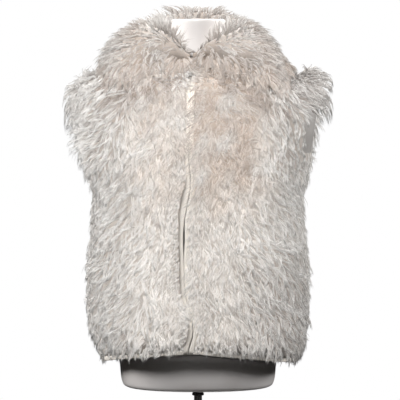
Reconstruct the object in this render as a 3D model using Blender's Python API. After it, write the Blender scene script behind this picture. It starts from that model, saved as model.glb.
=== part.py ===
"""Long-pile vest with a wide fold-over collar, worn by a limbless dress form on a short stand.

Metres, +Z up. The origin is on the floor under the middle of the stand, and the vest's front faces -Y.
Right and left are the wearer's: right is -X. The tables and sizes below are in millimetres.
"""

import math
from collections import namedtuple
from functools import partial

import bmesh
import bpy
from mathutils import Vector

MM = 0.001
SEAM_GAP = 0.3

# Stand, from the floor up
BASE_RADIUS = 130.0
BASE_THICKNESS = 9.0
BASE_EDGE_ROUND = 3.0
POLE_RADIUS = 8.0
SOCKET_RADIUS = 12.0
SOCKET_HEIGHT = 15.0
DATUM = 140.0

# Dress form. Its heights and the vest's are counted from the datum above the floor.
FORM_SIDES = 40
NECK_TOP_SLOPE = 0.10
FormSection = namedtuple("FormSection", "height half_width front back lean squareness")
FORM_SECTIONS = (
    FormSection(7, 142, 94, 100, 0, 2.15),
    FormSection(10, 148, 98, 104, 0, 2.15),
    FormSection(18, 152, 101, 107, 0, 2.15),
    FormSection(53, 157, 103, 110, 0, 2.15),
    FormSection(100, 163, 106, 115, 0, 2.15),
    FormSection(150, 166, 108, 118, 0, 2.15),
    FormSection(230, 154, 102, 110, 0, 2.15),
    FormSection(290, 131, 90, 94, 0, 2.15),
    FormSection(345, 118, 83, 84, 0, 2.15),
    FormSection(420, 130, 96, 91, 0, 2.15),
    FormSection(490, 146, 116, 97, 0, 2.15),
    FormSection(540, 154, 104, 99, 0, 2.15),
    FormSection(580, 163, 90, 94, 0, 2.15),
    FormSection(604, 166, 80, 85, 0, 2.1),
    FormSection(620, 164, 72, 75, 0, 2.0),
    FormSection(631, 158, 64, 65, 0, 1.9),
    FormSection(640, 136.8, 61, 60, 0, 1.8),
    FormSection(649, 98, 56, 52, 0, 1.75),
    FormSection(660, 67, 55, 52, -2, 1.85),
    FormSection(672, 62, 54, 52, -4, 2.0),
    FormSection(690, 56, 52, 51, -7, 2.1),
    FormSection(715, 54, 52, 51, -10, 2.1),
    FormSection(742, 54, 53, 51, -13, 2.1),
)

# Body of the vest: its inner surface, level by level, up to where the shoulders start to round over
VEST_SQUARENESS = 2.5
SHOULDER_SQUARENESS = 2.5
REACH_SPREAD = 1.385
VestSection = namedtuple("VestSection", "height half_width front back")
VEST_SECTIONS = (
    VestSection(50, 187, 123, 123),
    VestSection(90, 193, 126, 126),
    VestSection(140, 198, 129, 128),
    VestSection(235, 201, 132, 128),
    VestSection(340, 191, 134, 125),
    VestSection(405, 190, 136, 124),
    VestSection(470, 206, 135, 124),
)
CHEST = VEST_SECTIONS[-1].height
HEM_FRONT = 89.0
HEM_SIDE = 59.0
HEM_BACK = 57.0

# Shoulder seam: from the neck point out and down to the shoulder tip
NECK_POINT_REACH = 0.29
NECK_POINT_X = 85.0
NECK_POINT_HEIGHT = 657.0
SHOULDER_HALF_WIDTH = 234.0
SHOULDER_SLOPE = 0.32
TIP_DROP_FROM = 186.0
TIP_DROP_RIGHT = 24.0
TIP_DROP_LEFT = 3.0
NECKLINE_FRONT_TURN = 58.0
NECKLINE_BACK_TURN = 61.0
NECKLINE_ROUNDNESS = 2.8

# Where a panel ends sideways along the armhole: 1 is the side seam, 0 the middle of the front or back
ArmholeRow = namedtuple("ArmholeRow", "climb front_reach back_reach")
ARMHOLE = (
    ArmholeRow(0.00, 1.00, 1.00),
    ArmholeRow(0.12, 0.93, 0.945),
    ArmholeRow(0.30, 0.885, 0.91),
    ArmholeRow(0.55, 0.87, 0.90),
    ArmholeRow(0.80, 0.89, 0.91),
    ArmholeRow(0.93, 0.94, 0.95),
    ArmholeRow(1.00, 1.00, 1.00),
)

# The front opening: a wavering line a little right of the middle, and how far the two edges stand apart
OpeningRow = namedtuple("OpeningRow", "height edge_x gap")
FRONT_OPENING = (
    OpeningRow(76, -21, 0.5),
    OpeningRow(103, -17, 0.9),
    OpeningRow(128, -10, 0.5),
    OpeningRow(152, -11, 0.4),
    OpeningRow(206, -24, 0.4),
    OpeningRow(273, -27, 0.7),
    OpeningRow(322, -27, 3.4),
    OpeningRow(350, -26, 0.7),
    OpeningRow(380, -21, 0.4),
    OpeningRow(413, -15, 0.4),
    OpeningRow(483, -18, 0.4),
    OpeningRow(583, -15, 0.4),
    OpeningRow(650, -14, 0.4),
)

# Soft folds that run up from the hem and fade out
FoldRow = namedtuple("FoldRow", "side reach depth spread fade_height")
FOLDS = (
    FoldRow(-1, -0.72, -6, 0.12, 330),
    FoldRow(-1, -0.42, 5, 0.14, 300),
    FoldRow(-1, 0.38, -5, 0.13, 340),
    FoldRow(-1, 0.74, 6, 0.14, 300),
    FoldRow(1, -0.55, -6, 0.15, 320),
    FoldRow(1, 0.00, 5, 0.16, 300),
    FoldRow(1, 0.58, -6, 0.15, 340),
)

# Pile: how far the fur stands off the cloth
PILE_SIDES = 27.0
PILE_MIDDLE_FRONT = 20.0
PILE_AT_OPENING = 6.0
PILE_AT_HEM = 18.0
PILE_UNDER_COLLAR = 9.0
PILE_TAPER = 48.0
PILE_TUFT_SHARE = 0.07
TUFT_WIDTH = 46.0
TUFT_LENGTH = 64.0
ARMHOLE_FLARE = 13.0
COVERED_HEIGHT = 580.0
COVERED_HALF_WIDTH = 210.0
COVER_BLEND = 20.0

# Smooth bands that finish the front edges and the hem
BAND_WIDTH = 9.0
BAND_WALL = 2.4

# Collar: each row is a section from the neck seam up over the roll and down to the outer edge
CollarRow = namedtuple(
    "CollarRow",
    "along right_x right_y right_z left_x left_y left_z stand_rise stand_lean fall_rise right_lean left_lean pile",
)
COLLAR = (
    CollarRow(0.00, -17, -114, 659, -8, -112, 662, 30, 2, 26, 2, 2, 12),
    CollarRow(0.10, -52, -115, 648, 36, -115, 655, 52, 6, 42, 6, 6, 20),
    CollarRow(0.22, -104, -111, 630, 86, -114, 631, 74, 14, 54, 14, 14, 24),
    CollarRow(0.33, -150, -100, 618, 132, -110, 612, 92, 18, 54, 16, 24, 26),
    CollarRow(0.43, -180, -80, 612, 164, -100, 598, 108, 22, 50, 8, 36, 26),
    CollarRow(0.52, -184, -32, 637, 172, -48, 639, 119, 25, 35, 2, 48, 24),
    CollarRow(0.62, -182, 26, 642, 168, 22, 650, 136, 24, 30, 24, 58, 24),
    CollarRow(0.74, -156, 76, 628, 154, 75, 628, 154, 22, 56, 46, 50, 28),
    CollarRow(0.88, -88, 114, 611, 88, 114, 611, 166, 20, 88, 38, 38, 30),
    CollarRow(1.00, 0, 123, 606, 0, 123, 606, 168, 20, 98, 36, 36, 30),
)
COLLAR_PILE_AT_SEAM = 8.0
COLLAR_PILE_AT_EDGE = 17.0
COLLAR_TUFT_SHARE = 0.10
COLLAR_SEAT = 1.2

# Grid of each wall
BODY_ROWS = 13
UNDERARM_ROW = 11
SHOULDER_ROWS = 11
NECK_COLUMNS = 6
SIDE_COLUMNS = 11
LOWEST_ROW = BODY_ROWS * (BAND_WIDTH + SEAM_GAP) / (CHEST - HEM_SIDE)
TOP_ROW = BODY_ROWS + SHOULDER_ROWS
COLLAR_STATIONS = 20
COLLAR_STEPS = 12

FRONT = -1
BACK = 1
RIGHT = -1
LEFT = 1


def smooth(share):
    """0 to 1 with soft ends."""
    share = max(0.0, min(1.0, share))
    return share * share * (3 - 2 * share)


def blend(start, end, share):
    return start + (end - start) * share


def slopes(keys, values):
    """Slope at each key of a smooth curve through the values."""
    steps = [(values[i + 1] - values[i]) / (keys[i + 1] - keys[i]) for i in range(len(keys) - 1)]
    inner = [(steps[i] + steps[i + 1]) / 2 for i in range(len(steps) - 1)]
    return [steps[0], *inner, steps[-1]]


def read(table, key):
    """The table's row at this key, on a smooth curve through its rows."""
    columns = list(zip(*table))
    keys = columns[0]
    key = max(keys[0], min(keys[-1], key))
    i = max(k for k in range(len(keys) - 1) if keys[k] <= key or k == 0)
    span = keys[i + 1] - keys[i]
    t = (key - keys[i]) / span
    row = [key]
    for values in columns[1:]:
        slope = slopes(keys, values)
        row.append(
            (2 * t**3 - 3 * t**2 + 1) * values[i]
            + (t**3 - 2 * t**2 + t) * span * slope[i]
            + (3 * t**2 - 2 * t**3) * values[i + 1]
            + (t**3 - t**2) * span * slope[i + 1]
        )
    return type(table[0])(*row)


def power(base, exponent):
    """A power that keeps the base's sign."""
    return math.copysign(abs(base) ** exponent, base)


# The vest's inner surface. side is FRONT or BACK, reach runs from -1 to 1 between the side seams, and
# climb from 0 at the hem through 1 at the chest to 2 at the shoulder seam.


def hem_height(side, reach):
    if side == FRONT:
        return blend(HEM_FRONT, HEM_SIDE, abs(reach) ** 1.7)
    return blend(HEM_BACK, HEM_SIDE, reach**2)


def ridge_height(x):
    """Height of the shoulder seam at this distance from the middle."""
    drop = TIP_DROP_RIGHT if x < 0 else TIP_DROP_LEFT
    drop *= smooth((abs(x) - TIP_DROP_FROM) / (SHOULDER_HALF_WIDTH - TIP_DROP_FROM))
    return NECK_POINT_HEIGHT - SHOULDER_SLOPE * max(0.0, abs(x) - NECK_POINT_X) - drop


def shoulder_half_width(turn):
    chest = VEST_SECTIONS[-1].half_width
    return blend(chest, SHOULDER_HALF_WIDTH, math.sin(turn) ** 0.7)


def fold_at(side, reach, height):
    """How far the soft folds push the cloth out here."""
    push = 0.0
    for fold in FOLDS:
        if fold.side == side:
            rise = smooth((fold.fade_height - height) / (fold.fade_height - HEM_SIDE))
            push += fold.depth * rise * math.exp(-(((reach - fold.reach) / fold.spread) ** 2))
    return push


def vest_point(side, reach, climb):
    turn = math.pi / 2 * abs(reach) ** REACH_SPREAD
    across = math.copysign(math.sin(turn) ** (2 / VEST_SQUARENESS), reach)
    outward = max(0.0, math.cos(turn)) ** (2 / VEST_SQUARENESS)
    if climb <= 1:
        height = blend(hem_height(side, reach), CHEST, climb)
        section = read(VEST_SECTIONS, height)
        depth = section.front if side == FRONT else section.back
        push = fold_at(side, reach, height)
        x = section.half_width * across + push * across
        return Vector((x, side * outward * (depth + push), height))
    over = math.pi / 2 * (climb - 1)
    rise = math.sin(over) ** (2 / SHOULDER_SQUARENESS)
    inset = max(0.0, math.cos(over)) ** (2 / SHOULDER_SQUARENESS)
    depth = VEST_SECTIONS[-1].front if side == FRONT else VEST_SECTIONS[-1].back
    x = shoulder_half_width(over) * across
    return Vector((x, side * depth * outward * inset, blend(CHEST, ridge_height(x), rise)))


def vest_normal(side, reach, climb):
    """Unit vector out of the vest here. On the side and shoulder seams it has no part along Y."""
    if abs(reach) > 0.995 and climb > 1.99:
        return Vector((math.copysign(0.75, reach), 0, 0.66)).normalized()
    step = 0.004
    across = vest_point(side, min(1, reach + step), climb) - vest_point(side, max(-1, reach - step), climb)
    upward = vest_point(side, reach, min(2, climb + step)) - vest_point(side, reach, max(0, climb - step))
    normal = across.cross(upward) * -side
    if abs(reach) > 0.999 or climb > 1.999:
        normal.y = 0
    return normal.normalized()


def reach_of(x, half_width):
    """The reach at which the surface passes this x."""
    turn = math.asin(min(1.0, abs(x) / half_width) ** (VEST_SQUARENESS / 2))
    return math.copysign((turn / (math.pi / 2)) ** (1 / REACH_SPREAD), x)


def top_climb(side, reach):
    """Where a column of the surface ends: the neckline near the middle, the shoulder seam past it."""
    lowest = NECKLINE_FRONT_TURN if side == FRONT else NECKLINE_BACK_TURN
    share = min(1.0, abs(reach) / NECK_POINT_REACH) ** NECKLINE_ROUNDNESS
    return 1 + blend(lowest, 90, share) / 90


def row_climb(side, reach, row):
    if row <= BODY_ROWS:
        return row / BODY_ROWS
    return blend(1, top_climb(side, reach), (row - BODY_ROWS) / SHOULDER_ROWS)


def side_reach(side, row):
    """Where the panel ends sideways in this row: the side seam, or the armhole above it."""
    if row <= UNDERARM_ROW:
        return 1.0
    climb = (row - UNDERARM_ROW) / (TOP_ROW - UNDERARM_ROW)
    armhole = read(ARMHOLE, climb)
    return min(1.0, armhole.front_reach if side == FRONT else armhole.back_reach)


def half_width_at(side, climb):
    if climb > 1:
        return shoulder_half_width(math.pi / 2 * (climb - 1))
    return read(VEST_SECTIONS, blend(hem_height(side, 0), CHEST, climb)).half_width


def opening_reach(hand, row, inset):
    """Reach of one front's edge in this row, moved into that front by inset."""
    climb = row_climb(FRONT, 0, row)
    opening = read(FRONT_OPENING, vest_point(FRONT, 0, climb).z)
    x = opening.edge_x + hand * (opening.gap / 2 + inset)
    return reach_of(x, half_width_at(FRONT, climb))


def pile_depth(side, reach, point):
    """How far the fur stands off the cloth at this point of the vest."""
    sideways = smooth((abs(reach) - 0.12) / 0.5)
    depth = blend(PILE_MIDDLE_FRONT, PILE_SIDES, sideways) if side == FRONT else PILE_SIDES
    phase = 0.5 * math.floor(point.z / TUFT_LENGTH)
    tuft = math.cos(2 * math.pi * (point.x / TUFT_WIDTH + phase)) * math.cos(2 * math.pi * point.z / TUFT_LENGTH)
    depth *= 1 + PILE_TUFT_SHARE * tuft
    covered = smooth((point.z - COVERED_HEIGHT) / COVER_BLEND)
    covered *= smooth((COVERED_HALF_WIDTH - abs(point.x)) / COVER_BLEND)
    depth = blend(depth, PILE_UNDER_COLLAR, covered)
    if side == FRONT:
        from_edge = abs(point.x - read(FRONT_OPENING, point.z).edge_x) - BAND_WIDTH
        depth = blend(min(depth, PILE_AT_OPENING), depth, smooth(from_edge / PILE_TAPER))
    above_hem = point.z - hem_height(side, reach) - BAND_WIDTH
    return blend(min(depth, PILE_AT_HEM), depth, smooth(above_hem / PILE_TAPER))


# Solids


def material(name, colour, roughness, metallic=0.0):
    made = bpy.data.materials.get(name)
    if made is None:
        made = bpy.data.materials.new(name)
        made.use_nodes = True
        shader = made.node_tree.nodes["Principled BSDF"]
        shader.inputs["Base Color"].default_value = (*colour, 1)
        shader.inputs["Roughness"].default_value = roughness
        shader.inputs["Metallic"].default_value = metallic
    return made


def finish_object(name, shape, finish, sharp_angle=50):
    """Turns a bmesh in millimetres above the floor into a named object."""
    bmesh.ops.scale(shape, vec=(MM, MM, MM), verts=shape.verts)
    mesh = bpy.data.meshes.new(name)
    shape.to_mesh(mesh)
    shape.free()
    mesh.shade_smooth()
    mesh.set_sharp_from_angle(angle=math.radians(sharp_angle))
    mesh.materials.append(finish)
    made = bpy.data.objects.new(name, mesh)
    bpy.context.scene.collection.objects.link(made)
    return made


def wall(name, inner, outer, finish):
    """A closed wall between two grids of points with the same rows and columns."""
    shape = bmesh.new()
    rows, columns = len(inner), len(inner[0])
    lift = Vector((0, 0, DATUM))
    inside = [[shape.verts.new(point + lift) for point in row] for row in inner]
    outside = [[shape.verts.new(point + lift) for point in row] for row in outer]
    for i in range(rows - 1):
        for j in range(columns - 1):
            shape.faces.new((outside[i][j], outside[i][j + 1], outside[i + 1][j + 1], outside[i + 1][j]))
            shape.faces.new((inside[i][j], inside[i + 1][j], inside[i + 1][j + 1], inside[i][j + 1]))
    border = [(0, j) for j in range(columns - 1)]
    border += [(i, columns - 1) for i in range(rows - 1)]
    border += [(rows - 1, j) for j in range(columns - 1, 0, -1)]
    border += [(i, 0) for i in range(rows - 1, 0, -1)]
    for (i, j), (k, m) in zip(border, border[1:] + border[:1]):
        shape.faces.new((inside[i][j], inside[k][m], outside[k][m], outside[i][j]))
    bmesh.ops.recalc_face_normals(shape, faces=shape.faces)
    return finish_object(name, shape, finish)


def spread(start, end, count):
    """count steps from start to end, without the end."""
    return [blend(start, end, i / count) for i in range(count)]


def front_columns(hand, row):
    """Reaches across one front in this row, from the band along its opening edge to its side."""
    edge = opening_reach(hand, row, BAND_WIDTH)
    neck = hand * NECK_POINT_REACH
    count = NECK_COLUMNS - 1 if hand == RIGHT else NECK_COLUMNS + 1
    return [*spread(edge, neck, count), *spread(neck, hand * side_reach(FRONT, row), SIDE_COLUMNS),
            hand * side_reach(FRONT, row)]


def back_columns(row):
    """Reaches across the back in this row, from the right side to the left."""
    side = side_reach(BACK, row)
    neck = NECK_POINT_REACH
    return [*spread(-side, -neck, SIDE_COLUMNS), *spread(-neck, neck, 2 * NECK_COLUMNS),
            *spread(neck, side, SIDE_COLUMNS), side]


def flare(side, reach, row):
    """The fur leans out past the armhole's edge."""
    if row <= UNDERARM_ROW or row == TOP_ROW:
        return Vector()
    near = smooth((abs(reach) / side_reach(side, row) - 0.75) / 0.25)
    climb = (row - UNDERARM_ROW) / (TOP_ROW - UNDERARM_ROW)
    return Vector((math.copysign(ARMHOLE_FLARE, reach) * near * math.sin(math.pi * climb) ** 0.5, 0, 0))


def fur_panel(name, side, columns_of, finish):
    """A panel of pile cloth: a plain inside on the vest's surface, and an outside at the fur's tips."""
    apart = Vector((0, side * SEAM_GAP / 2, 0))
    inner, outer = [], []
    for row in (LOWEST_ROW, *range(1, TOP_ROW + 1)):
        inner.append([])
        outer.append([])
        for reach in columns_of(row):
            climb = row_climb(side, reach, row)
            point = vest_point(side, reach, climb)
            pile = vest_normal(side, reach, climb) * pile_depth(side, reach, point)
            inner[-1].append(point + apart)
            outer[-1].append(point + pile + flare(side, reach, row) + apart)
    return wall(name, inner, outer, finish)


def front_band(name, hand, finish):
    """The smooth band along one front's edge, from the hem to the neckline."""
    apart = Vector((0, FRONT * SEAM_GAP / 2, 0))
    inner, outer = [], []
    for row in (0, LOWEST_ROW, *range(1, TOP_ROW + 1)):
        ends = (opening_reach(hand, row, 0), opening_reach(hand, row, BAND_WIDTH - SEAM_GAP))
        inner.append([])
        outer.append([])
        for reach in ends:
            climb = row_climb(FRONT, reach, row)
            point = vest_point(FRONT, reach, climb)
            inner[-1].append(point + apart)
            outer[-1].append(point + vest_normal(FRONT, reach, climb) * BAND_WALL + apart)
    return wall(name, inner, outer, finish)


def hem_band(name, side, columns_of, finish):
    """The smooth band along the hem of one panel."""
    apart = Vector((0, side * SEAM_GAP / 2, 0))
    top = LOWEST_ROW * BAND_WIDTH / (BAND_WIDTH + SEAM_GAP)
    inner, outer = [], []
    for row in (0, top):
        reaches = columns_of(row)
        points = [vest_point(side, reach, row / BODY_ROWS) + apart for reach in reaches]
        normals = [vest_normal(side, reach, row / BODY_ROWS) for reach in reaches]
        inner.append(points)
        outer.append([point + normal * BAND_WALL for point, normal in zip(points, normals)])
    return wall(name, inner, outer, finish)


def collar_seam(hand, along):
    """Point on the neckline's outer rim at this share of the way from the opening to the middle of the back."""
    edge = opening_reach(hand, TOP_ROW, 1.5)
    neck = hand * NECK_POINT_REACH
    if along < 0.45:
        side, reach = FRONT, blend(edge, neck, along / 0.45)
    else:
        side, reach = BACK, blend(neck, 0, (along - 0.45) / 0.55)
    climb = top_climb(side, reach)
    point = vest_point(side, reach, climb)
    return point + vest_normal(side, reach, climb) * (pile_depth(side, reach, point) + COLLAR_SEAT)


def collar_section(hand, along):
    """One section of the collar's cloth as points from the seam over the roll to the edge, and its pile."""
    row = read(COLLAR, along)
    seam = collar_seam(hand, along)
    edge = Vector((row.right_x, row.right_y, row.right_z))
    if hand == LEFT:
        edge = Vector((row.left_x, row.left_y, row.left_z))
    away = Vector((seam.x, seam.y, 0)).normalized()
    back_in = Vector((seam.x - edge.x, seam.y - edge.y, 0)).normalized()
    stand = seam - away * row.stand_lean + Vector((0, 0, row.stand_rise))
    fall = edge + back_in * (row.right_lean if hand == RIGHT else row.left_lean) + Vector((0, 0, row.fall_rise))
    points = []
    for i in range(COLLAR_STEPS + 1):
        t = i / COLLAR_STEPS
        points.append(
            seam * (1 - t) ** 3 + stand * 3 * t * (1 - t) ** 2 + fall * 3 * t * t * (1 - t) + edge * t**3
        )
    return points, row.pile


def collar(name, finish):
    """The collar: one strip of pile cloth from the right front round the back to the left front."""
    ends = [i / COLLAR_STATIONS for i in range(COLLAR_STATIONS + 1)]
    stations = [(RIGHT, a) for a in ends] + [(LEFT, a) for a in reversed(ends[:-1])]
    sections = [collar_section(hand, along) for hand, along in stations]
    inner = [points for points, _ in sections]
    outer = []
    for i, (points, pile) in enumerate(sections):
        outer.append([])
        before, after = inner[max(0, i - 1)], inner[min(len(inner) - 1, i + 1)]
        for j, point in enumerate(points):
            along = after[j] - before[j]
            down = points[min(COLLAR_STEPS, j + 1)] - points[max(0, j - 1)]
            normal = along.cross(down).normalized()
            share = j / COLLAR_STEPS
            depth = blend(min(pile, COLLAR_PILE_AT_SEAM), pile, smooth(share / 0.42))
            depth = blend(depth, min(pile, COLLAR_PILE_AT_EDGE), smooth((share - 0.5) / 0.5))
            tuft = math.cos(math.pi * i) * math.cos(math.pi * j / 1.5)
            outer[-1].append(point + normal * depth * (1 + COLLAR_TUFT_SHARE * tuft))
    return wall(name, inner, outer, finish)


def dress_form(name, finish):
    """A smooth torso with a neck and no limbs, lofted through its level sections."""
    shape = bmesh.new()
    top = FORM_SECTIONS[-1].height
    rings = []
    for section in FORM_SECTIONS:
        ring = []
        for i in range(FORM_SIDES):
            turn = 2 * math.pi * i / FORM_SIDES
            x = section.half_width * power(math.sin(turn), 2 / section.squareness)
            depth = section.front if math.cos(turn) > 0 else section.back
            y = -depth * power(math.cos(turn), 2 / section.squareness) + section.lean
            z = section.height + (NECK_TOP_SLOPE * y if section.height == top else 0)
            ring.append(shape.verts.new((x, y, z + DATUM)))
        rings.append(ring)
    for lower, upper in zip(rings, rings[1:]):
        for i in range(FORM_SIDES):
            j = (i + 1) % FORM_SIDES
            shape.faces.new((lower[i], lower[j], upper[j], upper[i]))
    shape.faces.new(rings[0])
    shape.faces.new(rings[-1])
    bmesh.ops.recalc_face_normals(shape, faces=shape.faces)
    return finish_object(name, shape, finish)


def turned(name, profile, sides, finish):
    """A round solid from (radius, height) corners listed from the bottom up."""
    shape = bmesh.new()
    rings = [
        [
            shape.verts.new((r * math.cos(2 * math.pi * i / sides), r * math.sin(2 * math.pi * i / sides), z))
            for i in range(sides)
        ]
        for r, z in profile
    ]
    for lower, upper in zip(rings, rings[1:]):
        for i in range(sides):
            j = (i + 1) % sides
            shape.faces.new((lower[i], lower[j], upper[j], upper[i]))
    shape.faces.new(rings[0])
    shape.faces.new(rings[-1])
    bmesh.ops.recalc_face_normals(shape, faces=shape.faces)
    return finish_object(name, shape, finish, sharp_angle=35)


def stand(steel, black):
    pole_top = DATUM + FORM_SECTIONS[0].height - SOCKET_HEIGHT - 2 * SEAM_GAP
    turned(
        "stand_base",
        (
            (BASE_RADIUS, 0),
            (BASE_RADIUS, BASE_THICKNESS - BASE_EDGE_ROUND),
            (BASE_RADIUS - 0.3 * BASE_EDGE_ROUND, BASE_THICKNESS - 0.3 * BASE_EDGE_ROUND),
            (BASE_RADIUS - BASE_EDGE_ROUND, BASE_THICKNESS),
        ),
        48,
        steel,
    )
    turned("stand_pole", ((POLE_RADIUS, BASE_THICKNESS + SEAM_GAP), (POLE_RADIUS, pole_top)), 20, steel)
    socket_low = pole_top + SEAM_GAP
    turned(
        "stand_socket",
        (
            (SOCKET_RADIUS, socket_low),
            (SOCKET_RADIUS, socket_low + 0.35 * SOCKET_HEIGHT),
            (SOCKET_RADIUS - 1.2, socket_low + 0.45 * SOCKET_HEIGHT),
            (SOCKET_RADIUS - 1.2, socket_low + SOCKET_HEIGHT),
        ),
        24,
        black,
    )


def vest(pile, smooth_cloth):
    for hand, word in ((RIGHT, "right"), (LEFT, "left")):
        columns_of = partial(front_columns, hand)
        fur_panel(f"front_{word}", FRONT, columns_of, pile)
        front_band(f"front_band_{word}", hand, smooth_cloth)
        hem_band(f"hem_band_{word}", FRONT, columns_of, smooth_cloth)
    fur_panel("back", BACK, back_columns, pile)
    hem_band("hem_band_back", BACK, back_columns, smooth_cloth)
    collar("collar", pile)


def main():
    for old in list(bpy.data.objects):
        bpy.data.objects.remove(old)
    stand(
        material("satin steel", (0.62, 0.62, 0.61), 0.35, 1.0),
        material("black moulded plastic", (0.012, 0.012, 0.012), 0.4),
    )
    dress_form("dress_form", material("white painted form", (0.78, 0.76, 0.75), 0.45))
    vest(
        material("cream pile cloth", (0.66, 0.61, 0.55), 0.95),
        material("cream smooth cloth", (0.82, 0.79, 0.72), 0.7),
    )


main()
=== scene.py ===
"""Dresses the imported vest: pile cloth with its locks of fur, smooth bands, dress form, stand and studio.

Metres, +Z up, in the part's own frame. The tables and the geometry below work in millimetres, with heights
counted from a datum above the floor, and are turned into metres when a mesh is made.
"""

import math
from collections import namedtuple

import bmesh
import bpy
import numpy as np
from bpy.props import FloatProperty, FloatVectorProperty, IntProperty, PointerProperty
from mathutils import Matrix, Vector


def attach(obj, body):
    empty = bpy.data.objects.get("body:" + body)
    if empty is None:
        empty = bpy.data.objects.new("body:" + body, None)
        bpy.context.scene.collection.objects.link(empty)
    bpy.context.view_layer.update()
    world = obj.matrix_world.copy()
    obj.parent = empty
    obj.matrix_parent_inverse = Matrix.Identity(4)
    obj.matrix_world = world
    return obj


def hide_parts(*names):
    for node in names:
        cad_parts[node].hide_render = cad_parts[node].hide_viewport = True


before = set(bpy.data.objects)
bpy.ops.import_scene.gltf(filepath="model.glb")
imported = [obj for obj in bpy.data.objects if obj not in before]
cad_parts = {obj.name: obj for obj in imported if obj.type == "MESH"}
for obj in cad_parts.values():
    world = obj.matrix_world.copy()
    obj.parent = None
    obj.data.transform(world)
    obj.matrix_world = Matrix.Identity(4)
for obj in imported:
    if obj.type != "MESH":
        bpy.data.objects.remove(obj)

bl_info = {
    "name": "Long-pile vest on a dress form",
    "version": (1, 0, 0),
    "blender": (4, 5, 0),
    "location": "3D View > Sidebar > Vest",
    "description": "Builds the vest's pile cloth, fur and bands, its dress form and stand, and a studio",
    "category": "Object",
}

MM = 0.001
SEAM_GAP = 0.3
DATUM = 140.0
UP = np.array((0.0, 0.0, 1.0))

# The front faces -Y, and right and left are the wearer's
FRONT, BACK = -1, 1
RIGHT, LEFT = -1, 1
HANDS = ((RIGHT, "right"), (LEFT, "left"))


def table(columns, *rows):
    """Rows of figures under these column names."""
    row = namedtuple("Row", columns)
    return [row(*figures) for figures in rows]


# Stand, from the floor up
BASE_RADIUS = 130.0
BASE_THICKNESS = 9.0
POLE_RADIUS = 8.0
SOCKET_RADIUS = 12.0
SOCKET_HEIGHT = 20.2
STAND_SHARP = 32

# Dress form
FORM_SIDES = 96
FORM_SHARP = 40
NECK_TOP_SLOPE = -0.02
NECK_RIM_ROUND = 3.0
NECK_RIM_WIDTH = 4.0
NECK_DISH_WIDTH = 3.0
NECK_DISH_DEPTH = 2.0
FORM_SECTIONS = table(
    "height half_width front back lean squareness",
    (10.2, 145, 96, 102, 0, 2.15),
    (12, 148.5, 98.5, 104.5, 0, 2.15),
    (18, 152, 101, 107, 0, 2.15),
    (53, 157, 103, 110, 0, 2.15),
    (100, 163, 106, 115, 0, 2.15),
    (150, 166, 108, 118, 0, 2.15),
    (230, 154, 102, 110, 0, 2.15),
    (290, 131, 90, 94, 0, 2.15),
    (345, 118, 83, 84, 0, 2.15),
    (420, 130, 96, 91, 0, 2.15),
    (490, 146, 116, 97, 0, 2.15),
    (540, 154, 104, 99, 0, 2.15),
    (580, 163, 90, 94, 0, 2.15),
    (604, 166, 80, 85, 0, 2.1),
    (620, 164, 72, 75, 0, 2.0),
    (631, 158, 64, 65, 0, 1.9),
    (640, 136.8, 61, 60, 0, 1.8),
    (649, 98, 56, 52, 0, 1.75),
    (660, 67, 55, 52, -2, 1.85),
    (672, 62, 54, 52, -4, 2.0),
    (690, 56, 52, 51, -7, 2.1),
    (715, 54, 52, 51, -10, 2.1),
    (742, 54, 53, 51, -13, 2.1),
)

# Inner surface of the vest's body, and its shoulders
VEST_SQUARENESS = 2.5
SHOULDER_SQUARENESS = 2.5
REACH_SPREAD = 1.385
VEST_SECTIONS = table(
    "height half_width front back",
    (50, 187, 123, 123),
    (90, 193, 126, 126),
    (140, 198, 129, 128),
    (235, 201, 132, 128),
    (340, 191, 134, 125),
    (405, 190, 136, 124),
    (470, 206, 135, 124),
)
CHEST = VEST_SECTIONS[-1].height
HEM_FRONT = 89.0
HEM_SIDE = 59.0
HEM_BACK = 57.0
HEM_CURVE_RIGHT = 1.7
HEM_CURVE_LEFT = 1.1
NECK_POINT_REACH = 0.29
NECK_POINT_X = 85.0
NECK_POINT_HEIGHT = 657.0
SHOULDER_HALF_WIDTH = 234.0
SHOULDER_SLOPE = 0.32
TIP_DROP_FROM = 186.0
TIP_DROP_RIGHT = 24.0
TIP_DROP_LEFT = 3.0
NECKLINE_FRONT_TURN = 58.0
NECKLINE_BACK_TURN = 61.0
NECKLINE_ROUNDNESS = 2.8
ARMHOLE = table(
    "climb front_reach back_reach",
    (0.00, 1.00, 1.00),
    (0.12, 0.93, 0.945),
    (0.30, 0.885, 0.91),
    (0.55, 0.87, 0.90),
    (0.80, 0.89, 0.91),
    (0.93, 0.94, 0.95),
    (1.00, 1.00, 1.00),
)

# The front opening, and how far the fur closes over its smooth edge: 1 hides the edge, 0 leaves it bare
FRONT_OPENING = table(
    "height edge_x gap",
    (76, -21, 0.5),
    (103, -17, 2.4),
    (128, -10, 1.6),
    (152, -11, 0.4),
    (206, -24, 0.4),
    (273, -27, 0.7),
    (322, -27, 3.4),
    (350, -26, 1.6),
    (380, -21, 1.3),
    (413, -15, 1.3),
    (483, -18, 1.0),
    (583, -15, 0.4),
    (650, -14, 0.4),
)
OPENING_CLOSED = table(
    "height right left",
    (89, 0.0, 0.3),
    (125, 0.0, 0.3),
    (150, 0.2, 0.7),
    (178, 0.9, 1.0),
    (205, 0.2, 0.9),
    (283, 0.0, 0.7),
    (315, 0.0, 0.5),
    (345, 0.0, 0.6),
    (375, 0.0, 0.9),
    (405, 0.0, 1.0),
    (430, 0.3, 1.0),
    (485, 0.4, 1.0),
    (510, 1.0, 1.0),
    (540, 0.5, 1.0),
    (560, 0.9, 1.0),
    (583, 0.6, 1.0),
    (605, 1.0, 1.0),
    (660, 1.0, 1.0),
)

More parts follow.
